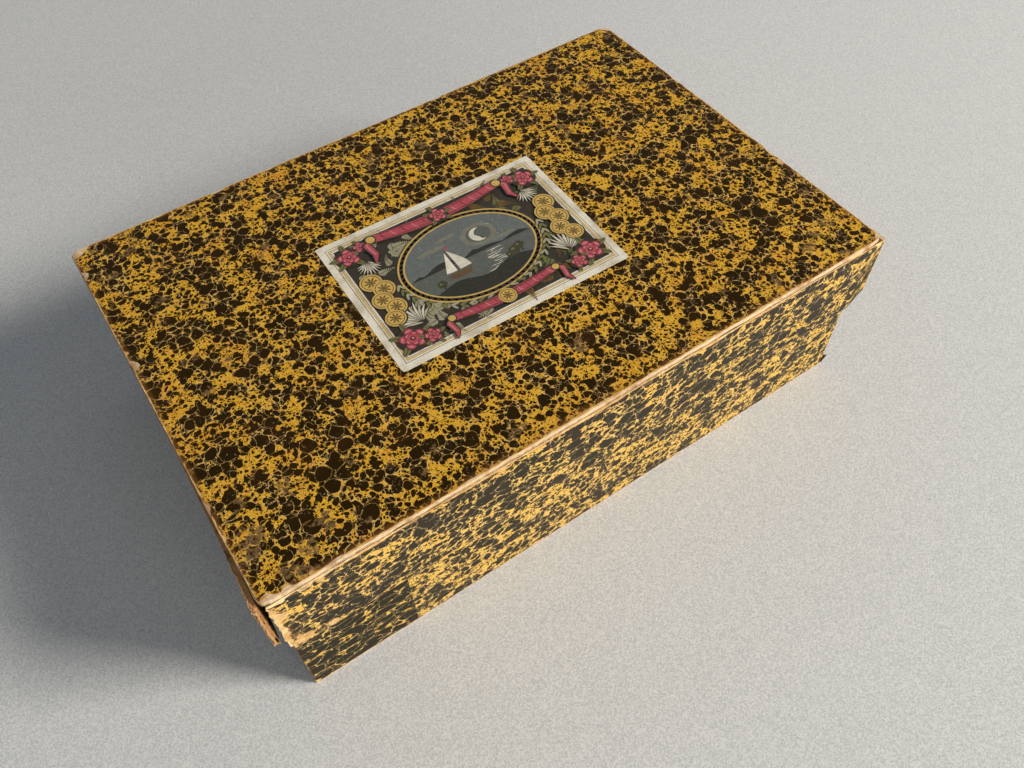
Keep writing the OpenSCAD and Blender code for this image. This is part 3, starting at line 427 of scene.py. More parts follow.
topLow, topHigh = boxOf("lid_top_board")
apronLow, apronHigh = boxOf("lid_back_apron")
topPaperLow, topPaperHigh = boxOf("lid_top_paper")
frontLow, frontHigh = boxOf("lid_front_paper")
halfLength, halfWidth = topHigh.x, topHigh.y
boardThick = apronHigh.y - apronLow.y
lidFoot = frontLow.z


def springAt(y):  # how far the ends have sprung out, more towards the front
    share = (apronHigh.y - y) / (2 * apronHigh.y)
    return lidLook["springOut"] * max(0.0, (share - lidLook["springFrom"]) / (1 - lidLook["springFrom"])) ** 2


def cornerClip(distance):  # how far a worn lower corner has risen, at a distance from the end
    return lidLook["apronClip"] * (1 - easeIn(distance, 0.0, lidLook["clipLength"])) ** 0.8


def roundedPlate(bm, z, cuts):
    radius = lidLook["cornerRadius"]
    made = bmesh.ops.create_circle(bm, cap_ends=True, segments=48, radius=1.0)
    for vert in made["verts"]:
        x, y = vert.co.x, vert.co.y
        sideX, sideY = (1 if x > 0 else -1), (1 if y > 0 else -1)
        vert.co = (sideX * (halfLength - radius) + x * radius, sideY * (halfWidth - radius) + y * radius, z)
    longEdges = [edge for edge in bm.edges if edge.calc_length() > 4 * radius]
    bmesh.ops.subdivide_edges(bm, edges=longEdges, cuts=cuts)
    return list(bm.faces)


def pullIn(vert, left, right, front, back):  # trims a plate along its four edges
    x, y, band = vert.co.x, vert.co.y, lidLook["edgeBand"]
    if x < band - halfLength:
        vert.co.x += left
    if x > halfLength - band:
        vert.co.x -= right
    if y < band - halfWidth:
        vert.co.y += front
    if y > halfWidth - band:
        vert.co.y -= back


def makeTopBoard(material):
    bm = bmesh.new()
    faces = roundedPlate(bm, topHigh.z, 150)
    for vert in bm.verts:
        x, y = vert.co.x, vert.co.y
        inward = 0.28 * rag(3, x * 0.11, y * 0.11) + 0.14 * rag(4, x * 0.7, y * 0.7)
        for cornerX, cornerY, reach, depth in lidLook["boardChips"]:
            away = math.hypot(x - cornerX, y - cornerY)
            inward += depth * max(0.0, 1 - away / reach) * (0.7 + 0.5 * ripple(9, x * 0.5, y * 0.5))
        pullIn(vert, *[inward] * 4)
    made = bmesh.ops.extrude_face_region(bm, geom=faces, use_keep_orig=True)
    sunk = [item for item in made["geom"] if isinstance(item, bmesh.types.BMVert)]
    bmesh.ops.translate(bm, vec=(0, 0, topLow.z - topHigh.z), verts=sunk)
    bmesh.ops.recalc_face_normals(bm, faces=bm.faces)
    rims = [edge for edge in bm.edges if len(edge.link_faces) == 2
            and abs(edge.link_faces[0].normal.z - edge.link_faces[1].normal.z) > 0.5]
    bmesh.ops.bevel(bm, geom=rims, offset=lidLook["boardEdge"], affect="EDGES", segments=3, profile=0.5,
                    material=-1)
    finishPiece("lidTopBoard", bm, material, "lid", ["lid_top_board"])


def makeTopPaper(material):
    bm = bmesh.new()
    roundedPlate(bm, topPaperHigh.z, 260)
    for vert in bm.verts:
        x, y = vert.co.x, vert.co.y
        torn = 1 + 0.55 * ripple(5, x * 0.06, y * 0.06) + lidLook["ragged"] * ripple(6, x * 0.45, y * 0.45)
        torn += 0.25 * ripple(7, x * 1.3, y * 1.3)
        bite = 0.0
        for biteX, biteY, reach, depth in lidLook["paperBites"]:
            away = math.hypot(x - biteX, y - biteY)
            loss = depth * easeIn(1 - away / reach, 0.0, 0.8) * (1 + 0.5 * ripple(8, x * 0.9, y * 0.9))
            bite = max(bite, loss)
        pullIn(vert, *[margin * torn + bite for margin in lidLook["margins"]])
    mapSheet(bm, lambda vert: (vert.co.x, vert.co.y))
    piece = finishPiece("lidTopPaper", bm, material, "lid", ["lid_top_paper"])
    giveWall(piece, topPaperHigh.z - topPaperLow.z)


def makeLongApron(name, side, node, material):
    leftX, front = lidLook["apronLeft"], side < 0
    rightX = lidLook["frontApronRight" if front else "backApronRight"]
    chip = 2.6 if front else 0.6

    def place(u, v):
        x = leftX + (rightX - leftX) * u
        z0 = apronLow.z + 0.25 * rag(11 + side, x * 0.2)
        if front:
            z0 = max(z0, apronLow.z + cornerClip(rightX - x))
        z0 += chip * (1 - easeIn(x - leftX, 0.0, 4.5))
        return (x * -side, side * apronHigh.y, z0 + (apronHigh.z - z0) * v)
    sheetPiece(name, (220, 16), place, boardThick, material, "lid", [node])


def makeEndApron(name, node, material):
    def place(u, v):
        y = apronHigh.y - 2 * apronHigh.y * (1 - u)
        z0 = apronLow.z + cornerClip(y + apronHigh.y)
        return (halfLength - lidLook["paper"] + springAt(y), y, z0 + (apronHigh.z - z0) * v)
    sheetPiece(name, (150, 18), place, boardThick, material, "lid", [node])


def makeSprungApron(name, node, material):
    # its front end has come apart: the outer ply curls away and the inner one is shorter
    for ply in lidLook["plies"]:
        def place(u, v):
            share = 1 - (1 - u) ** 1.6  # more stations towards the torn end
            y = apronHigh.y - (2 * apronHigh.y - ply["short"]) * share
            tip = easeIn(share, 0.975, 1.0)
            z0 = apronLow.z + cornerClip((y + apronHigh.y) * 1.15) + 0.8 * ply["short"] * tip
            z = z0 + (apronHigh.z - z0) * v
            y += tip * (0.9 * rag(ply["seed"], z * 0.45) + 0.5 * rag(ply["seed"], z * 1.9))
            y += tip * 1.6 * (1 - easeIn(v, 0.0, 0.09))
            x = halfLength - lidLook["paper"] + springAt(y) - ply["depth"]
            x += tip * (0.35 * ripple(ply["seed"] + 1, z * 0.3) - 0.25)
            return (-x, y, z)
        stoodFor = () if ply["name"] else [node]
        sheetPiece(name + ply["name"], (190, 60), place, ply["thick"], material, "lid", stoodFor)


def makeTornStrip(name, seed, reach, lean, rise, material):
    # ragged paper left standing along the joint of the sprung end
    def place(u, v):
        y = -apronHigh.y + 0.3 + reach * (1 - u)
        near = easeIn(u, 0.0, 0.8)
        z = apronHigh.z - 1.4 + v * (0.9 + rise * near * (0.5 + 0.8 * rag(seed, y * 0.55))
                                     + 0.4 * rag(seed + 1, y * 2.1))
        x = halfLength - 0.25 + springAt(y) + v * near * lean * (0.5 + 0.9 * ripple(seed + 2, y * 0.4))
        return (-x - 0.2 * ripple(seed + 3, y * 1.1), y, z)
    sheetPiece(name, (170, 6), place, 0.28, material, "lid")


def foldOf(v):
    # for a row of a side paper: share up the face, share in under the edge, rise inside the lid
    turned, face = lidLook["turnedRow"], lidLook["faceRow"]
    return (max(0.0, (v - face) / (1 - face)), min(1.0, max(0.0, (face - v) / (face - turned))),
            lidLook["turnIn"] * max(0.0, turned - v) / turned)


def sidePaper(name, columns, place, material, node, length=300.0):
    sheetPiece(name, (columns, 50), place, lidLook["paper"], material, "lid", [node], length)


def frontPaperTop(x):
    loss = 0.45 + 0.35 * rag(21, x * 0.35) + 0.25 * rag(22, x * 1.4)
    for centre, reach, depth in lidLook["frontBites"]:
        loss += depth * easeIn(1 - abs(x - centre) / reach, 0.0, 0.9) * (1 + 0.5 * ripple(23, x * 0.8))
    return apronHigh.z - loss


def makeFrontPaper(material):
    leftX, rightX, arc = lidLook["frontLeft"], frontHigh.x, lidLook["frontArc"]

    def place(u, v):
        tall, inward, lift = foldOf(v)
        across = leftX + (rightX - leftX) * u
        z0 = lidFoot + cornerClip(rightX - across)
        z = z0 + (frontPaperTop(across) - z0) * tall
        low = easeIn(14.0 - (z - lidFoot), 0.0, 14.0)
        leftLoss = 0.4 + 1.4 * low + 0.8 * ripple(24, z * 0.35) + 0.5 * ripple(25, z * 1.3)
        x = leftX + max(0.0, leftLoss) * (1 - u) ** 6 + (rightX - leftX) * u
        y = -halfWidth
        if x > rightX - arc:
            turn = min(1.0, (x - rightX + arc) / arc) * math.pi / 2
            x, y = rightX - arc + arc * math.sin(turn), y + arc - arc * math.cos(turn)
        if v < lidLook["faceRow"]:
            x = min(x, rightX - 0.3)
            y = -halfWidth + inward * (frontHigh.y - frontLow.y)
            if abs(x) < halfLength - lidLook["cornerFree"]:
                z += lift
        return (x, y, z)
    sidePaper("lidFrontPaper", 420, place, material, "lid_front_paper")


def makeBackPaper(material):
    def place(u, v):
        tall, inward, lift = foldOf(v)
        x = (halfLength - lidLook["paper"]) * (2 * u - 1)
        top = apronHigh.z - 0.2 - 0.4 * rag(31, x * 0.3)
        z = lidFoot + (top - lidFoot) * tall + (lift if abs(x) < halfLength - lidLook["cornerFree"] else 0.0)
        return (-x, halfWidth - inward * lidLook["underEdge"], z)
    sidePaper("lidBackPaper", 300, place, material, "lid_back_paper")


def makeEndPaper(name, side, node, material):
    def place(u, v):
        tall, inward, lift = foldOf(v)
        y = apronHigh.y - 2 * apronHigh.y * (u if side < 0 else 1 - u)
        z0 = lidFoot + cornerClip((y + apronHigh.y) * (1.0 if side > 0 else 1.15))
        top = apronHigh.z - 0.25 - 0.5 * rag(33 + side, y * 0.3) - 0.2 * rag(36, y * 1.2)
        if side < 0:  # the frayed front edge of the sprung end
            top -= 0.9 * easeIn(-y, 84.0, 99.0) * (0.6 + 0.6 * rag(37, y * 0.6))
            y += easeIn(-y, 90.0, 99.0) * (0.7 + 0.9 * rag(38, v * 14))
        z = z0 + (top - z0) * tall + (lift if abs(y) < halfWidth - lidLook["cornerFree"] else 0.0)
        return (side * (halfLength + springAt(y) - inward * lidLook["underEdge"]), y, z)
    sidePaper(name, 260, place, material, node, 2 * apronHigh.y)


trayLook = dict(  # lengths in millimetres
    cornerRadius=0.6, foot=0.6, rimInset=2.2, turnIn=12.0, paper=0.2, seamProud=0.2,
    seam=105.5, buttIn=41.8,  # from the middle, and from the left corner where the sheets meet at the back
    rimRow=0.80, turnedRow=0.85,  # rows of a sheet: up to the rim, over it, then turned down inside
    peel=dict(reach=3.2, height=6.0, curl=1.9))

trayHigh = boxOf("base_paper_right")[1]
seamLow, seamHigh = boxOf("base_paper_left")
trayX, trayY, trayRim = trayHigh.x, trayHigh.y, trayHigh.z
perimeter = 4 * trayX + 4 * trayY
frontMiddle = 2 * trayX + 2 * trayY  # half way round, from the middle of the back


def trayPoint(distance):
    # walks round the tray from the middle of its back, to the left, at a distance in millimetres
    sides = [trayX, 2 * trayY, 2 * trayX, 2 * trayY, trayX]
    corners = [(0, trayY), (-trayX, trayY), (-trayX, -trayY), (trayX, -trayY), (trayX, trayY), (0, trayY)]
    distance %= sum(sides)
    for (fromX, fromY), (toX, toY), length in zip(corners, corners[1:], sides):
        if distance <= length:
            part = distance / length
            return fromX + (toX - fromX) * part, fromY + (toY - fromY) * part
        distance -= length
    return corners[-1]


def makeTrayPaper(name, start, end, proudFrom, node, stations, material):
    rimRow, turnedRow, radius = trayLook["rimRow"], trayLook["turnedRow"], trayLook["cornerRadius"]

    def place(u, v):
        distance = start + (end - start) * u
        x, y = trayPoint(distance)
        foot = trayLook["foot"] + 0.3 * rag(41, distance * 0.25) + 0.2 * rag(42, distance * 1.1)
        proud = trayLook["seamProud"] * easeIn(distance, proudFrom, proudFrom + 0.8) if proudFrom else 0.0
        under = proud * 0.5 if v > rimRow else 0.0  # behind the rim the lap lies under the other sheet
        inset = trayLook["rimInset"] * min(1.0, max(0.0, (v - rimRow) / (turnedRow - rimRow))) - under
        z = foot + (trayRim - foot) * min(1.0, v / rimRow)
        if v > turnedRow:
            z = trayRim - trayLook["turnIn"] * (v - turnedRow) / (1 - turnedRow)
            z += 0.5 * ripple(43, distance * 0.3) * (v > 0.99)
        z -= under
        limitX, limitY = trayX - inset, trayY - inset
        x, y = min(limitX, max(-limitX, x)), min(limitY, max(-limitY, y))
        overX, overY = abs(x) - (limitX - radius), abs(y) - (limitY - radius)
        if inset < 0.01 and overX > 0 and overY > 0:  # round the corner
            away = math.hypot(overX, overY)
            x = math.copysign(limitX - radius + overX * radius / away, x)
            y = math.copysign(limitY - radius + overY * radius / away, y)
        if proud and inset < 0.01:
            y -= proud
            x += 0.25 * ripple(44, z * 0.5) * u ** 40
        return (x, y, z)
    sheetPiece(name, (stations, 40), place, trayLook["paper"], material, "base", [node],
               end - start)


def makeTrayPeel(material):
    # a flap of the covering that curls off the lower front corner
    peel = trayLook["peel"]

    def place(u, v):
        free = (1 - u) * (0.55 + 0.45 * v)
        y = -trayY + 0.1 + peel["reach"] * u - peel["curl"] * 0.5 * free ** 2
        x = trayX + 0.12 + peel["curl"] * free ** 2 * (0.8 + 0.4 * ripple(46, v * 3.0))
        z = trayLook["foot"] + 0.4 + peel["height"] * v * (1 - 0.35 * u) + 0.5 * ripple(47, u * 4.0) * v
        return (x, y, z)
    sheetPiece("trayPaperPeel", (24, 30), place, trayLook["paper"], material, "base")


labelLook = dict(  # a general design: rules, roses, discs, plumes, swags and a moonlit bay in an oval
    length=112.6, width=81.0, turn=-1.0, thick=0.15, inkStep=0.0008, inkThick=0.0006,
    inks=dict(rule=(0.05, 0.045, 0.035), gold=(0.70, 0.43, 0.08), goldDark=(0.15, 0.085, 0.018),
              panel=(0.21, 0.20, 0.15), night=(0.140, 0.155, 0.145), sea=(0.110, 0.120, 0.105),
              hill=(0.022, 0.022, 0.016), pale=(0.80, 0.74, 0.58), crimson=(0.48, 0.050, 0.080),
              crimsonDark=(0.10, 0.011, 0.016), pink=(0.70, 0.26, 0.26), leaf=(0.17, 0.165, 0.05),
              leafDark=(0.05, 0.048, 0.022), brown=(0.13, 0.07, 0.03), creamDark=(0.60, 0.50, 0.35),
              shadow=(0.030, 0.024, 0.016), fern=(0.40, 0.36, 0.22)),
    cream=(0.90, 0.82, 0.66), foxing=(0.30, 0.18, 0.08),
    rules=[("rule", 3.3, 0.26), ("gold", 4.2, 0.75), ("rule", 5.2, 0.22)], panelInset=6.2,
    sprigs=74, sprigInks=[("leafDark", "leaf"), ("leaf", "fern"), ("goldDark", "goldDark"),
                          ("leafDark", "fern")],
    oval=(31.0, 22.5), ovalRings=[("rule", 0.4, -0.6, 3.6), ("gold", 0, 0, 3.0), ("shadow", 0, 0, 2.2)],
    ropeTurns=60, laurel=(35.6, 27.2), laurelPairs=13,
    discs=[(44.6, 9.0), (41.4, 3.0), (45.0, -2.6), (41.8, -8.6), (45.2, -14.2)],
    roses=[(44.6, -27.6, 5.8), (36.6, -30.6, 3.8), (45.6, 27.6, 5.2), (38.6, 30.6, 3.2)],
    swags=[(33.0, 31.6, 3.4, 5.4), (26.0, -27.6, 2.4, 4.2)],  # half length, y, sag, width
    middleRose=(0, 28.6, 4.2), middleDisc=(0, -30.0, 4.0),
    # within the oval
    moon=(9.0, 8.4), stars=26, starSizes=[0.16, 0.22, 0.34], horizon=-1.5, glints=70,
    clouds=[(-14, 10.5, 6.5), (-5, 14.0, 5.0), (18, 1.6, 5.5)],
    boat=[("brown", 0, [(-15.5, -6.6), (-3.2, -6.0), (-4.8, -9.4), (-12.8, -9.6)]),  # width of a line, or 0
          ("goldDark", 0.45, [(-15.2, -6.9), (-9.4, -7.1), (-3.6, -6.4)]),
          ("brown", 0.42, [(-9.3, -6.8), (-9.0, 8.2)]),
          ("pale", 0, [(-8.6, 7.4), (-8.4, -5.4), (-2.6, -5.2), (-3.4, -1.6), (-5.8, 3.0)]),
          ("cream", 0, [(-9.8, 6.8), (-15.0, -5.0), (-12.4, -5.4), (-9.9, -5.3)]),
          ("crimson", 0, [(-9.0, 8.2), (-9.0, 9.5), (-5.6, 8.9)])],
    trees=[(17.5, -9.0, 3.0), (20.5, -7.6, 2.6), (14.4, -10.6, 2.2), (-19.5, -9.4, 2.4)])

labelLow, labelHigh = boxOf("picture_label")
inkShapes = {}
inkLayers = dict(top=0)


def printShape(ink, points, rise=1):  # each flat shape lies a thin layer over the one before
    inkLayers["top"] += rise
    if ink not in inkShapes:
        inkShapes[ink] = bmesh.new()
    bm = inkShapes[ink]
    z = inkLayers["top"] * labelLook["inkStep"]
    face = bm.faces.new([bm.verts.new((x, y, z)) for x, y in points])
    face.normal_update()
    if face.normal.z < 0:
        face.normal_flip()
    bmesh.ops.triangulate(bm, faces=[face])


def around(x, y, reach, angle):
    return x + reach * math.cos(angle), y + reach * math.sin(angle)


def printOval(ink, x, y, radiusX, radiusY, count, turn=0.0, rise=1):
    points = []
    for i in range(count):
        px, py = radiusX * math.cos(fullTurn * i / count), radiusY * math.sin(fullTurn * i / count)
        points.append((x + px * math.cos(turn) - py * math.sin(turn),
                       y + px * math.sin(turn) + py * math.cos(turn)))
    printShape(ink, points, rise)


def printRibbon(ink, path, widths, rise=1):
    left, right = [], []
    for i, (x, y) in enumerate(path):
        before, after = path[max(0, i - 1)], path[min(len(path) - 1, i + 1)]
        dx, dy = after[0] - before[0], after[1] - before[1]
        length = math.hypot(dx, dy) or 1.0
        half = widths[i] / 2 if isinstance(widths, list) else widths / 2
        left.append((x - dy / length * half, y + dx / length * half))
        right.append((x + dy / length * half, y - dx / length * half))
    printShape(ink, left + right[::-1], rise)


def printRect(ink, x0, y0, x1, y1):
    printShape(ink, [(x0, y0), (x1, y0), (x1, y1), (x0, y1)])


def printRule(ink, halfX, halfY, width):
    for corners in [(-halfX, halfY - width, halfX, halfY), (-halfX, -halfY, halfX, width - halfY),
                    (-halfX, -halfY, width - halfX, halfY), (halfX - width, -halfY, halfX, halfY)]:
        printRect(ink, *corners)


def printRose(x, y, radius, rand):
    printOval("shadow", x, y, radius * 1.22, radius * 1.16, 20)
    for i in range(5):
        a = fullTurn * (i + rand.random() * 0.4) / 5
        leaf = around(x, y, 1.05 * radius, a)
        printOval("leaf", *leaf, radius * 0.62, radius * 0.24, 12, a)
        printRibbon("leafDark", [around(*leaf, -0.5 * radius, a), around(*leaf, 0.62 * radius, a)],
                    radius * 0.07)
    for ring, reach, size, ink in [(0, 0.62, 0.46, "crimsonDark"), (0, 0.55, 0.42, "crimson"),
                                   (1, 0.34, 0.33, "crimsonDark"), (1, 0.30, 0.29, "crimson")]:
        for i in range(5):
            a = fullTurn * (i + 0.5 * ring) / 5 + 0.3
            printOval(ink, *around(x, y, reach * radius, a), size * radius, size * radius * 0.84, 14, a)
            if ink == "crimson":
                printOval("pink", *around(x, y, (reach + 0.20) * radius, a), size * radius * 0.16,
                          size * radius * 0.52, 10, a)
    printOval("crimsonDark", x, y, 0.22 * radius, 0.20 * radius, 12)
    printOval("pink", x + 0.03 * radius, y + 0.03 * radius, 0.10 * radius, 0.09 * radius, 10)


def printDisc(x, y, radius):
    printOval("shadow", x + 0.2, y - 0.3, radius + 0.35, radius + 0.35, 30)
    for ink, share in (("gold", 1.0), ("goldDark", 0.84), ("gold", 0.76)):
        printOval(ink, x, y, radius * share, radius * share, 30)
    for i in range(8):
        a = math.pi * i / 4
        printOval("goldDark", *around(x, y, radius * 0.36, a), radius * 0.26, radius * 0.09, 10, a)
    printOval("goldDark", x, y, radius * 0.13, radius * 0.13, 12)


def printPlume(x, y, size, aim):
    for i in range(11):
        a, bend = aim + (i - 5) * 0.17, (i - 5) * 0.05
        reach = size * (1.0 - 0.035 * abs(i - 5) ** 1.4)
        path = [around(x, y, reach * t, a + bend * t) for t in [0.0, 0.25, 0.5, 0.75, 1.0]]
        printRibbon("shadow", path, [size * w for w in [0.05, 0.115, 0.13, 0.10, 0.03]])
        printRibbon("pale" if i % 2 else "creamDark", path,
                    [size * w for w in [0.02, 0.07, 0.085, 0.06, 0.01]])


def printSwag(halfLong, y, sag, width):
    count = 26
    path = [(-halfLong + 2 * halfLong * i / count, y - sag * math.sin(math.pi * i / count))
            for i in range(count + 1)]
    widths = [width * (0.80 + 0.28 * math.sin(math.pi * i / count)) for i in range(count + 1)]
    printRibbon("shadow", path, [w * 1.24 for w in widths])
    printRibbon("crimson", path, widths)
    for flip in (-1, 1):
        printRibbon("pink", [(px, py + flip * width * 0.37) for px, py in path[2:-2]], 0.28, rise=0)
    for i in range(2, count - 1, 2):  # folds
        (x0, y0), (x1, y1) = path[i], path[i + 1]
        fold = [(x0, y0 + width * 0.42), (x0 + 0.4, y0), (x1 - 0.6, y0 - width * 0.42)]
        printRibbon("crimsonDark" if i % 4 else "pink", fold, [0.12, width * 0.10, 0.10])
    for (x, endY), way in ((path[0], -1), (path[-1], 1)):
        tail = [(x + way * width * out, endY - width * down)
                for out, down in [(0, -0.1), (0.55, 0.5), (0.35, 1.7), (0.75, 2.6)]]
        printRibbon("shadow", tail, [width * w for w in [0.60, 0.86, 0.74, 0.22]])
        printRibbon("crimson", tail, [width * w for w in [0.40, 0.60, 0.48, 0.05]])
        printRibbon("pink", [(px + 0.2 * way, py) for px, py in tail[:3]], width * 0.09)
        printOval("shadow", x, endY, width * 0.50, width * 0.50, 18)
        printOval("gold", x, endY, width * 0.38, width * 0.38, 18)


def printSprig(x, y, length, aim, curl, ink, leafInk):
    count = 9
    path, a = [(x, y)], aim
    for i in range(count):
        a += curl / count
        path.append(around(*path[-1], length / count, a))
    printRibbon(ink, path, [0.34 - 0.03 * i for i in range(count + 1)])
    for i in range(1, count):
        (x0, y0), (x1, y1) = path[i], path[i + 1]
        size = length * 0.15 * (1.15 - i / count)
        for flip in (-1, 1):
            side = math.atan2(y1 - y0, x1 - x0) + flip * 0.9
            printOval(leafInk, *around(x0, y0, size, side), size, size * 0.36, 10, side, rise=0)
    printOval(leafInk, *path[-1], length * 0.06, length * 0.03, 8, a)


def printScene(rand):
    # a moonlit bay with a sailing boat, inside the oval frame
    look = labelLook
    radiusX, radiusY = look["oval"]
    moonX, moonY = look["moon"]
    horizon = look["horizon"]

    def inOval(y, share=0.985):
        return radiusX * share * math.sqrt(max(0.0, 1 - (y / (radiusY * share)) ** 2))

    def fillUnder(edge, bottom, ink):  # from a line of points down to the oval's lower rim
        low = [(inOval(y), y) for y in [bottom - (bottom + radiusY * 0.98) * i / 10 for i in range(11)]]
        printShape(ink, edge + low + [(-x, y) for x, y in low[::-1]])

    def arc(x, y, radius, start, end, count):
        angles = [math.radians(start + (end - start) * i / count) for i in range(count + 1)]
        return [around(x, y, radius, angle) for angle in angles]
    printOval("night", 0, 0, radiusX * 0.99, radiusY * 0.99, 60)
    for grow, ink in ((8.4, "panel"), (6.0, "sea")):
        printOval(ink, moonX, moonY, grow, grow * 0.8, 26)
    printShape("pale", arc(moonX, moonY, 4.2, 60, 300, 22) + arc(moonX + 2.0, moonY, 3.7, 275, 85, 16))
    for i in range(look["stars"]):
        x, y = rand.uniform(-24, 24), rand.uniform(3, 18)
        if abs(x) < inOval(y, 0.9) - 1 and math.hypot(x - moonX, y - moonY) > 6.2:
            size = rand.choice(look["starSizes"])
            printShape("pale", [around(x, y, size * (0.34 if k % 2 else 1.0), k * math.pi / 4)
                                for k in range(8)])
    for x, y, long in look["clouds"]:
        for k in range(4):
            printOval("panel", x + (k - 1.5) * long * 0.45, y + 0.5 * (k % 2), long * 0.42, long * 0.17, 18)
    shoreline = [(-inOval(horizon), horizon), (inOval(horizon), horizon)]
    hills = [(x, -1.0 + 3.2 * abs(math.sin(x * 0.16 + 0.6)) * (1 if x < 4 else 0.55))
             for x in range(-26, 27, 2)]
    hills = [(x, y) for x, y in shoreline[:1] + hills if abs(x) <= inOval(y)] + shoreline[1:]
    printShape("hill", hills[::-1])
    fillUnder(shoreline, horizon, "sea")
    for i in range(look["glints"]):  # half of them under the moon
        y = rand.uniform(-17.5, -2.4)
        x = rand.gauss(moonX, 1.6 - y * 0.16) if i % 2 else rand.uniform(-26, 26)
        long = rand.uniform(0.8, 2.8)
        if abs(x) + long < inOval(y, 0.94):
            printOval("pale" if i % 2 else ("night" if i % 3 else "panel"), x, y, long, 0.17, 8)
    for ink, width, points in look["boat"]:
        if width:
            printRibbon(ink, points, width)
        else:
            printShape(ink, points)
    for k in range(4):  # seams of the sail
        printRibbon("creamDark", [(-8.5, 4.6 - 2.7 * k), (-4.4 + 0.35 * k, 2.9 - 2.2 * k)], 0.14)
    shore = [(x, -12.8 - 1.7 * math.sin(x * 0.22 + 1.4)) for x in range(-19, 20, 2)]
    shore = [(x, y) for x, y in shore if abs(x) <= inOval(y)]
    fillUnder([(-inOval(-13.5), -13.5)] + shore[:-1] + [(inOval(-13.5), -13.5)], -13.5, "hill")
    for x, y, size in look["trees"]:
        printRibbon("hill", [(x, y - 3.6), (x, y)], 0.5)
        for k in range(5):
            crownX, crownY = around(x, y, 0.5 * size, fullTurn * k / 5)
            printOval("leafDark", crownX, crownY + 0.4, size * 0.48, size * 0.42, 12)
        printOval("leaf", x - 0.25 * size, y + 0.35 * size, size * 0.30, size * 0.22, 12)


def printLabel(rand):
    look = labelLook
    halfX, halfY = look["length"] / 2, look["width"] / 2
    for ink, inset, width in look["rules"]:
        printRule(ink, halfX - inset, halfY - inset, width)
    panelX, panelY = halfX - look["panelInset"], halfY - look["panelInset"]
    printRect("shadow", -panelX, -panelY, panelX, panelY)
    for k in range(look["sprigs"]):  # leafy ground
        side = -1 if k % 2 else 1
        x, y = side * rand.uniform(6, panelX - 4), rand.choice([-1, 1]) * rand.uniform(8, panelY - 3)
        if (x / 33.0) ** 2 + (y / 25.0) ** 2 < 0.9:
            x += side * 16
        if abs(x) < panelX - 3:
            length = min(rand.uniform(6.5, 10.0), 1.2 * (panelX + 2 - abs(x)))
            inward = math.pi / 2 * (1 if y < 0 else -1)
            aim = rand.uniform(0, fullTurn) if abs(x) < panelX - 9 else inward
            printSprig(x, y, length, aim, rand.uniform(-1.3, 1.3), *look["sprigInks"][k % 4])
    radiusX, radiusY = look["oval"]
    for ink, x, y, grow in look["ovalRings"]:
        printOval(ink, x, y, radiusX + grow, radiusY + grow, 72)
    for i in range(look["ropeTurns"]):
        a = fullTurn * i / look["ropeTurns"]
        x, y = (radiusX + 1.3) * math.cos(a), (radiusY + 1.3) * math.sin(a)
        printOval("gold", x, y, 0.95, 0.5, 10, a + 0.9, rise=0)
    inkLayers["top"] += 1
    printOval("gold", 0, 0, radiusX + 0.5, radiusY + 0.5, 72)
    printScene(rand)
    for side in (-1, 1):
        for k in range(look["laurelPairs"]):  # round the lower half of the oval
            a = math.radians(-90 + side * (10 + 6.6 * k))
            x, y = look["laurel"][0] * math.cos(a), look["laurel"][1] * math.sin(a)
            for flip in (-1, 1):
                printOval("leaf" if k % 2 else "fern", *around(x, y, flip * 0.8, a), 1.9, 0.62, 12,
                          a + math.pi / 2 + side * flip * 0.5)
        printPlume(side * 37.0, -22.5, 13.5, math.pi / 2 - side * 0.30)
        printPlume(side * 40.0, 21.0, 9.0, -math.pi / 2 + side * 0.25)
        for k, (x, y) in enumerate(look["discs"]):
            printDisc(side * x, y, 5.0 - 0.12 * k)
        for x, y, radius in look["roses"]:
            printRose(side * x, y, radius, rand)
    for swag in look["swags"]:
        printSwag(*swag)
    printRose(*look["middleRose"], rand)
    printDisc(*look["middleDisc"])


def makeLabel(inks):
    half = Vector((labelLook["length"] / 2, labelLook["width"] / 2))
    centre = (labelLow + labelHigh) / 2
    turn = Matrix.Rotation(math.radians(labelLook["turn"]), 4, "Z")

    def settle(x, y, z):  # to the label's place on the lid
        where = turn @ Vector((x, y, 0))
        return (where.x + centre.x, where.y + centre.y, labelLow.z + labelLook["thick"] + z)

    def place(u, v):
        x, y = half.x * (2 * u - 1), half.y * (2 * v - 1)
        nick = 0.16 * rag(51, x * 0.5, y * 0.5) + 0.1 * rag(52, x * 1.7, y * 1.7)
        for cornerX, cornerY, loss in ((-1, -1, 0.45), (1, 1, 0.3), (1, -1, 0.3), (-1, 1, 0.2)):
            away = math.hypot(x - cornerX * half.x, y - cornerY * half.y)
            nick += loss * max(0.0, 1 - away / 1.6)
        x -= math.copysign(nick, x) * (abs(abs(x) - half.x) < 0.01)
        y -= math.copysign(nick, y) * (abs(abs(y) - half.y) < 0.01)
        return settle(x, y, 0)
    sheetPiece("pictureLabel", (190, 140), place, labelLook["thick"], inks["cream"], "lid",
               ["picture_label"])
    printLabel(random.Random(7))
    for ink, bm in inkShapes.items():
        for vert in bm.verts:
            vert.co = settle(*vert.co)
        piece = finishPiece("labelInk." + ink, bm, inks[ink], "lid")
        giveWall(piece, labelLook["inkThick"], "ink")


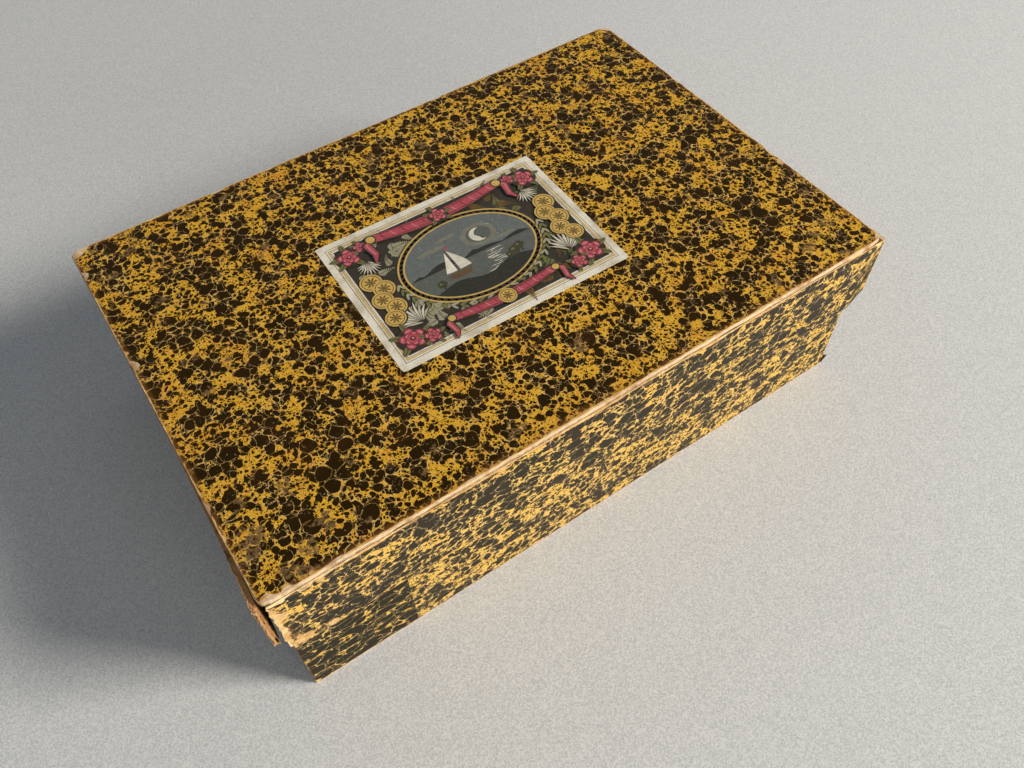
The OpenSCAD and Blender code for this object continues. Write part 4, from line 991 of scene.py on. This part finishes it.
def boardFinish(name, tan, pale, brown, fibre=(0.25, 1, 1), edges=(), cracks=()):
    where = startFinish(name)
    strands = cloud(mmPoint(squeeze=fibre), 0.5, 3.0, 0.65)
    base = stain(tan, pale, strands, 0.32, 0.66)
    base = stain(base, brown, cloud(where, 7.0, 3.0, 0.6), 0.50, 0.72, 0.0, 0.75)
    base = stain(base, brown, cloud(where, 0.9, 2.0, 0.7), 0.60, 0.72, 0.0, 0.55)
    if edges:
        bare, toned = bareEdges(where, edges)
        base = blend(times(toned, 0.65), base, brown)
    if cracks:
        ragged = minus(cloud(mmPoint(squeeze=(0.6, 1, 1)), 1.1, 3.0, 0.7), 0.5)
        tall = addNode("SeparateXYZ", {0: where}).outputs["Z"]
    for height, reach, share in cracks:  # painted shade in the joints and splits of the plies
        away = timesPlus(ragged, reach * 2.2, calc("ABSOLUTE", minus(tall, height)))
        seamed = ramp(cloud(where, 30.0, 1.0), 0.70 - 0.5 * share, 0.74 - 0.5 * share)
        crackShade = times(ramp(away, reach, reach * 0.5, 0.0, 0.92), seamed)
        base = blend(crackShade, base, [c * 0.35 for c in brown])
    return endFinish(strands, 0.12, 0.8, base=base, rough=0.9, specular=0.04)


def linedPaper(name, light, dark, speck, grain=0.6):
    where = startFinish(name)
    fibre = cloud(where, grain, 3.0, 0.65)
    base = stain(light, dark, cloud(where, 22.0, 3.0, 0.55), 0.35, 0.70)
    base = stain(base, dark, fibre, 0.35, 0.75, 0.0, 0.5)
    base = stain(base, speck, cloud(where, 1.7, 2.0, 0.7), 0.66, 0.74)
    return endFinish(fibre, 0.05, 0.6, base=base, rough=0.88, specular=0.25)


def wovenCloth(name, light, dark, pitch=0.55):
    where = startFinish(name)
    threads = 0.5
    for axis in ("X", "Y", "Z"):
        thread = wave(where, 0.314 / pitch, 0.6, 1.0, bands_direction=axis)
        threads = timesPlus(minus(thread, 0.5), 0.45, threads)
    base = stain(dark, light, threads, 0.2, 0.8)
    base = stain(base, dark, cloud(where, 9.0, 3.0, 0.6), 0.45, 0.75, 0.0, 0.6)
    return endFinish(threads, 0.06, 0.7, base=base, rough=0.92, specular=0.15)


def pineWood(name, light, dark, along=(1, 0.06, 1)):
    where = startFinish(name, squeeze=along)
    rings = wave(where, 0.10, 5.0, 2.0, 0.5, wave_type="RINGS", rings_direction="Y")
    pores = cloud(where, 0.35, 3.0, 0.7)
    base = stain(light, dark, rings, 0.2, 0.9)
    base = stain(base, dark, pores, 0.5, 0.75, 0.0, 0.6)
    return endFinish(pores, 0.05, 0.5, base=base, rough=0.65, specular=0.3)


def enamelTin(name, colour, deep, scuff=(0.45, 0.43, 0.40)):
    where = startFinish(name)
    base = stain(colour, deep, cloud(where, 14.0, 3.0, 0.6), 0.35, 0.7)
    scratch = cloud(mmPoint(squeeze=(1, 0.12, 1)), 0.7, 2.0, 0.7)
    chips = times(ramp(scratch, 0.67, 0.71), ramp(cloud(where, 5.0, 2.0), 0.45, 0.62))
    base = blend(chips, base, scuff)
    dull = ramp(cloud(where, 3.0, 3.0, 0.7), 0.3, 0.75, 0.20, 0.42)
    return endFinish(cloud(where, 2.2, 2.0), 0.04, 0.3, base=base, rough=dull, metal=times(chips, 0.8),
                     specular=0.5, coat=0.3, coatRough=0.12)


def agedMetal(name, bright, dull, tarnish, rough=(0.22, 0.48)):
    where = startFinish(name)
    patina = cloud(where, 6.0, 4.0, 0.65)
    base = stain(bright, dull, patina, 0.35, 0.68)
    base = stain(base, tarnish, cloud(where, 2.1, 3.0, 0.7), 0.58, 0.74, 0.0, 0.7)
    return endFinish(cloud(where, 0.5, 2.0, 0.6), 0.02, 0.35, base=base, metal=1.0,
                     rough=ramp(patina, 0.3, 0.7, *rough))


def clearGlass(name, tint, dust):
    where = startFinish(name)
    haze = cloud(where, 5.0, 3.0, 0.7)
    base = stain(tint, dust, haze, 0.5, 0.8, 0.0, 0.5)
    return endFinish(haze, 0.02, 0.15, base=base, glass=1.0, ior=1.5, rough=ramp(haze, 0.4, 0.8, 0.03, 0.14))


def printedInk(name, colour, paper):
    where = startFinish(name, turn=(0, 0, 0.7))

    def faded(share):  # towards the paper
        return [c + (p - c) * share for c, p in zip(colour, paper)]
    dots = cells(where, 0.30, flat="3D")["Distance"]
    lines = wave(where, 0.80, 2.5, 2.0)
    base = blend(times(ramp(dots, 0.20, 0.50), 0.45), colour, faded(0.05 + 0.25 * max(colour)))
    engraved = times(ramp(lines, 0.45, 0.85), ramp(cloud(where, 2.6, 3.0, 0.6), 0.36, 0.62, 0.15, 0.55))
    base = blend(engraved, base, [c * 0.25 for c in colour])
    worn = ramp(cloud(where, 1.2, 3.0, 0.7), 0.67, 0.76, 0.0, 0.6)
    base = blend(worn, base, faded(0.45))
    return endFinish(worn, 0.01, 0.3, base=base, rough=0.5, specular=0.08)


def agedCream(name, light, dark):
    where = startFinish(name)
    base = stain(light, dark, cloud(where, 9.0, 4.0, 0.6), 0.38, 0.70)
    base = stain(base, [c * 0.55 for c in dark], cloud(where, 0.55, 2.0, 0.7), 0.52, 0.72, 0.0, 0.40)
    foxing = ramp(cloud(where, 1.5, 2.0, 0.7), 0.66, 0.75)
    base = blend(times(foxing, 0.6), base, labelLook["foxing"])
    return endFinish(cloud(where, 0.4, 2.0), 0.02, 0.4, base=base, rough=0.6, specular=0.08)


# the marbled sheets: shift and stretch of the pattern, edges as bareEdges takes them, and places that are
# rubbed through (spots) or scuffed (rubs), as x, y, z, reach
paperLooks = dict(
    marbledTop=dict(
        shift=(11, 10), stretch=(1.15, 1.15), dark=-0.008, worn=0.9,
        edges=[("Y", -99.4, 1, 0.35, 2.8), ("Y", 99.4, -1, 0.5, 2.0), ("X", -149.4, 1, 0.35, 2.4),
               ("X", 149.4, -1, 0.35, 2.4)],
        spots=[(-147, -99.5, 93, 2.6), (-139, -100, 93, 2.3), (-129, -100, 93, 1.9), (-118, -100, 93, 1.4),
               (-150, -70, 93, 1.8), (-150, 30, 93, 1.9), (-149, 97, 93, 2.6), (150, -24, 93, 1.8),
               (149, -37, 93, 2.3), (150, -50, 93, 1.7), (150, -10, 93, 1.1)],
        rubs=[(-132, -82, 93, 34), (-60, 0, 93, 26), (-128, 92, 93, 14), (132, -84, 93, 20)]),
    marbledFront=dict(
        shift=(43, 71), stretch=(1.5, 1.15), dark=0.05, worn=0.5, pale=0.35, dropSheen=0.6, gloss=0.14,
        edges=[("Z", 89.9, -1, 0.75, 1.0), ("Z", lidFoot, 1, 0.06, 0.4), ("X", -148.6, 1, 2.6, 3.0),
               ("X", frontHigh.x, -1, 0.9, 2.0)],
        spots=[(-142, -100, 53, 3.6), (-130, -100, 51, 2.2), (-145, -100, 78, 3.0), (-128, -100, 88, 1.8),
               (149.5, -100, 88, 1.6)],
        rubs=[(-140, -100, 62, 22)]),
    marbledBack=dict(
        shift=(-31, 19), worn=0.4, pale=0.3, dropSheen=0.5,
        edges=[("Z", 90.4, -1, 0.6, 2.0), ("Z", lidFoot, 1, 0.12, 0.6), ("X", -149.8, 1, 0.5, 1.5),
               ("X", 149.8, -1, 0.5, 1.5)]),
    marbledEnds=dict(
        shift=(5, 38), worn=0.5, pale=0.3, dropSheen=0.5,
        edges=[("Z", 90.4, -1, 0.7, 2.2), ("Z", lidFoot, 1, 0.15, 0.6), ("Y", -99.6, 1, 0.9, 3.5),
               ("Y", 99.6, -1, 0.5, 1.5)]),
    marbledTrayLeft=dict(
        shift=(17, 40), stretch=(2.0, 1.2), dark=0.20, worn=0.2, pale=0.2, dropSheen=1.0, gloss=0.05,
        edges=[("Z", 0.8, 1, 0.35, 1.0), ("X", -trayX, 1, 0.25, 0.8, ("Y", -trayY, 1)),
               ("X", -trayX, 1, 0.3, 0.8, ("Y", trayY, -1)), ("Z", trayRim, -1, 0.4, 1.0)],
        spots=[(-147, -97.5, 1, 2.6)]),
    marbledTrayRight=dict(
        shift=(-13, 80), stretch=(1.4, 1.15), dark=-0.02, worn=0.3, pale=0.4, dropSheen=0.6, gloss=0.14,
        edges=[("Z", 0.8, 1, 0.2, 1.0), ("X", trayX, -1, 0.3, 1.0, ("Y", -trayY, 1)),
               ("X", trayX, -1, 0.3, 1.0, ("Y", trayY, -1)), ("Z", trayRim, -1, 0.4, 1.0)]))

# the pasteboard; cracks between its plies, darkened with painted shade, are given as height, reach, share of
# the length
boardLooks = dict(
    lidBoardTop=dict(tan=(0.72, 0.46, 0.24), pale=(0.88, 0.68, 0.44), brown=(0.34, 0.16, 0.06),
                     edges=[("X", -150.0, 1, 0.5, 4.0)], cracks=[(90.6, 0.5, 0.95), (91.6, 0.18, 0.4)]),
    # the front apron's board is a brighter copy of the board: worn cream, with a painted highlight of the lit
    # front edge
    lidBoardFrontLit=dict(tan=(0.84, 0.54, 0.22), pale=(0.98, 0.80, 0.42), brown=(0.34, 0.16, 0.06),
                       cracks=[(90.45, 0.42, 0.95)]),
    # a darker, browner copy of the board for the torn left end and its strips: browner as torn board, darker
    # as painted shade of that end
    tornBoardInShade=dict(tan=(0.44, 0.20, 0.07), pale=(0.66, 0.40, 0.18), brown=(0.12, 0.045, 0.018),
                   fibre=(1, 1, 0.3)),
    strawBoard=dict(tan=(0.60, 0.41, 0.21), pale=(0.74, 0.56, 0.32), brown=(0.33, 0.16, 0.06)))

placeCamera()
lightStudio()
layFloor()
print("camera, light and table ready")

papers = {name: marbledPaper(name, **look) for name, look in paperLooks.items()}
boards = {name: boardFinish(name, **look) for name, look in boardLooks.items()}
print("paper and board ready")

makeTopBoard(boards["lidBoardTop"])
makeTopPaper(papers["marbledTop"])
makeLongApron("lidFrontApron", -1, "lid_front_apron", boards["lidBoardFrontLit"])
makeLongApron("lidBackApron", 1, "lid_back_apron", boards["strawBoard"])
makeSprungApron("lidLeftApron", "lid_left_apron", boards["tornBoardInShade"])
makeEndApron("lidRightApron", "lid_right_apron", boards["strawBoard"])
makeTornStrip("lidTornStrip", 51, 46.0, 0.7, 1.3, boards["tornBoardInShade"])
makeTornStrip("lidTornStripInner", 61, 30.0, -0.5, 0.8, boards["tornBoardInShade"])
makeFrontPaper(papers["marbledFront"])
makeBackPaper(papers["marbledBack"])
makeEndPaper("lidLeftPaper", -1, "lid_left_paper", papers["marbledEnds"])
makeEndPaper("lidRightPaper", 1, "lid_right_paper", papers["marbledEnds"])
print("lid made")

seam = frontMiddle - trayLook["seam"]  # the right sheet starts here, and the left one laps over it
makeTrayPaper("trayPaperLeft", -seamLow.x - trayLook["buttIn"], frontMiddle + seamHigh.x, seam,
              "base_paper_left", 420, papers["marbledTrayLeft"])
makeTrayPaper("trayPaperRight", seam, perimeter + trayLook["seam"], None, "base_paper_right", 900,
              papers["marbledTrayRight"])
makeTrayPeel(papers["marbledTrayLeft"])
print("tray made")

labelInks = {"cream": agedCream("labelCream", labelLook["cream"], labelLook["inks"]["creamDark"])}
for ink, colour in labelLook["inks"].items():
    labelInks[ink] = printedInk("ink." + ink, colour, labelLook["cream"])
makeLabel(labelInks)
print("label made")

finishes = {
    "board": boards["strawBoard"],
    "lining_paper": linedPaper("liningPaper", (0.60, 0.53, 0.40), (0.44, 0.36, 0.24), (0.22, 0.15, 0.09)),
    "linen": wovenCloth("linenTape", (0.62, 0.55, 0.42), (0.40, 0.32, 0.20)),
    "card": linedPaper("buffCard", (0.52, 0.40, 0.24), (0.42, 0.30, 0.17), (0.24, 0.15, 0.08), 0.9),
    "wood": pineWood("pine", (0.60, 0.40, 0.20), (0.36, 0.19, 0.08)),
    "glass": clearGlass("clearGlass", (0.90, 0.95, 0.92), (0.70, 0.72, 0.68)),
    "slide_paper": linedPaper("slideEdging", (0.10, 0.035, 0.03), (0.06, 0.02, 0.02), (0.25, 0.12, 0.08),
                              0.5),
    "japanned_tin": enamelTin("japannedTin", (0.016, 0.014, 0.013), (0.009, 0.008, 0.008)),
    "red_tin": enamelTin("redTin", (0.40, 0.028, 0.018), (0.25, 0.016, 0.012)),
    "brass": agedMetal("agedBrass", (0.80, 0.55, 0.22), (0.52, 0.33, 0.12), (0.16, 0.10, 0.05)),
    "tinplate": agedMetal("tinplate", (0.75, 0.75, 0.73), (0.50, 0.50, 0.48), (0.22, 0.18, 0.14),
                          (0.15, 0.40)),
    "wick_cotton": wovenCloth("wickCotton", (0.78, 0.74, 0.64), (0.40, 0.34, 0.26), 0.7),
    "marbled_paper": papers["marbledEnds"], "label": labelInks["cream"]}
for node in nodes.values():
    slotName = (node.data.materials[0].name if node.data.materials else "board").split(".")[0]
    node.data.materials.clear()
    node.data.materials.append(finishes[slotName])
print("contents finished")
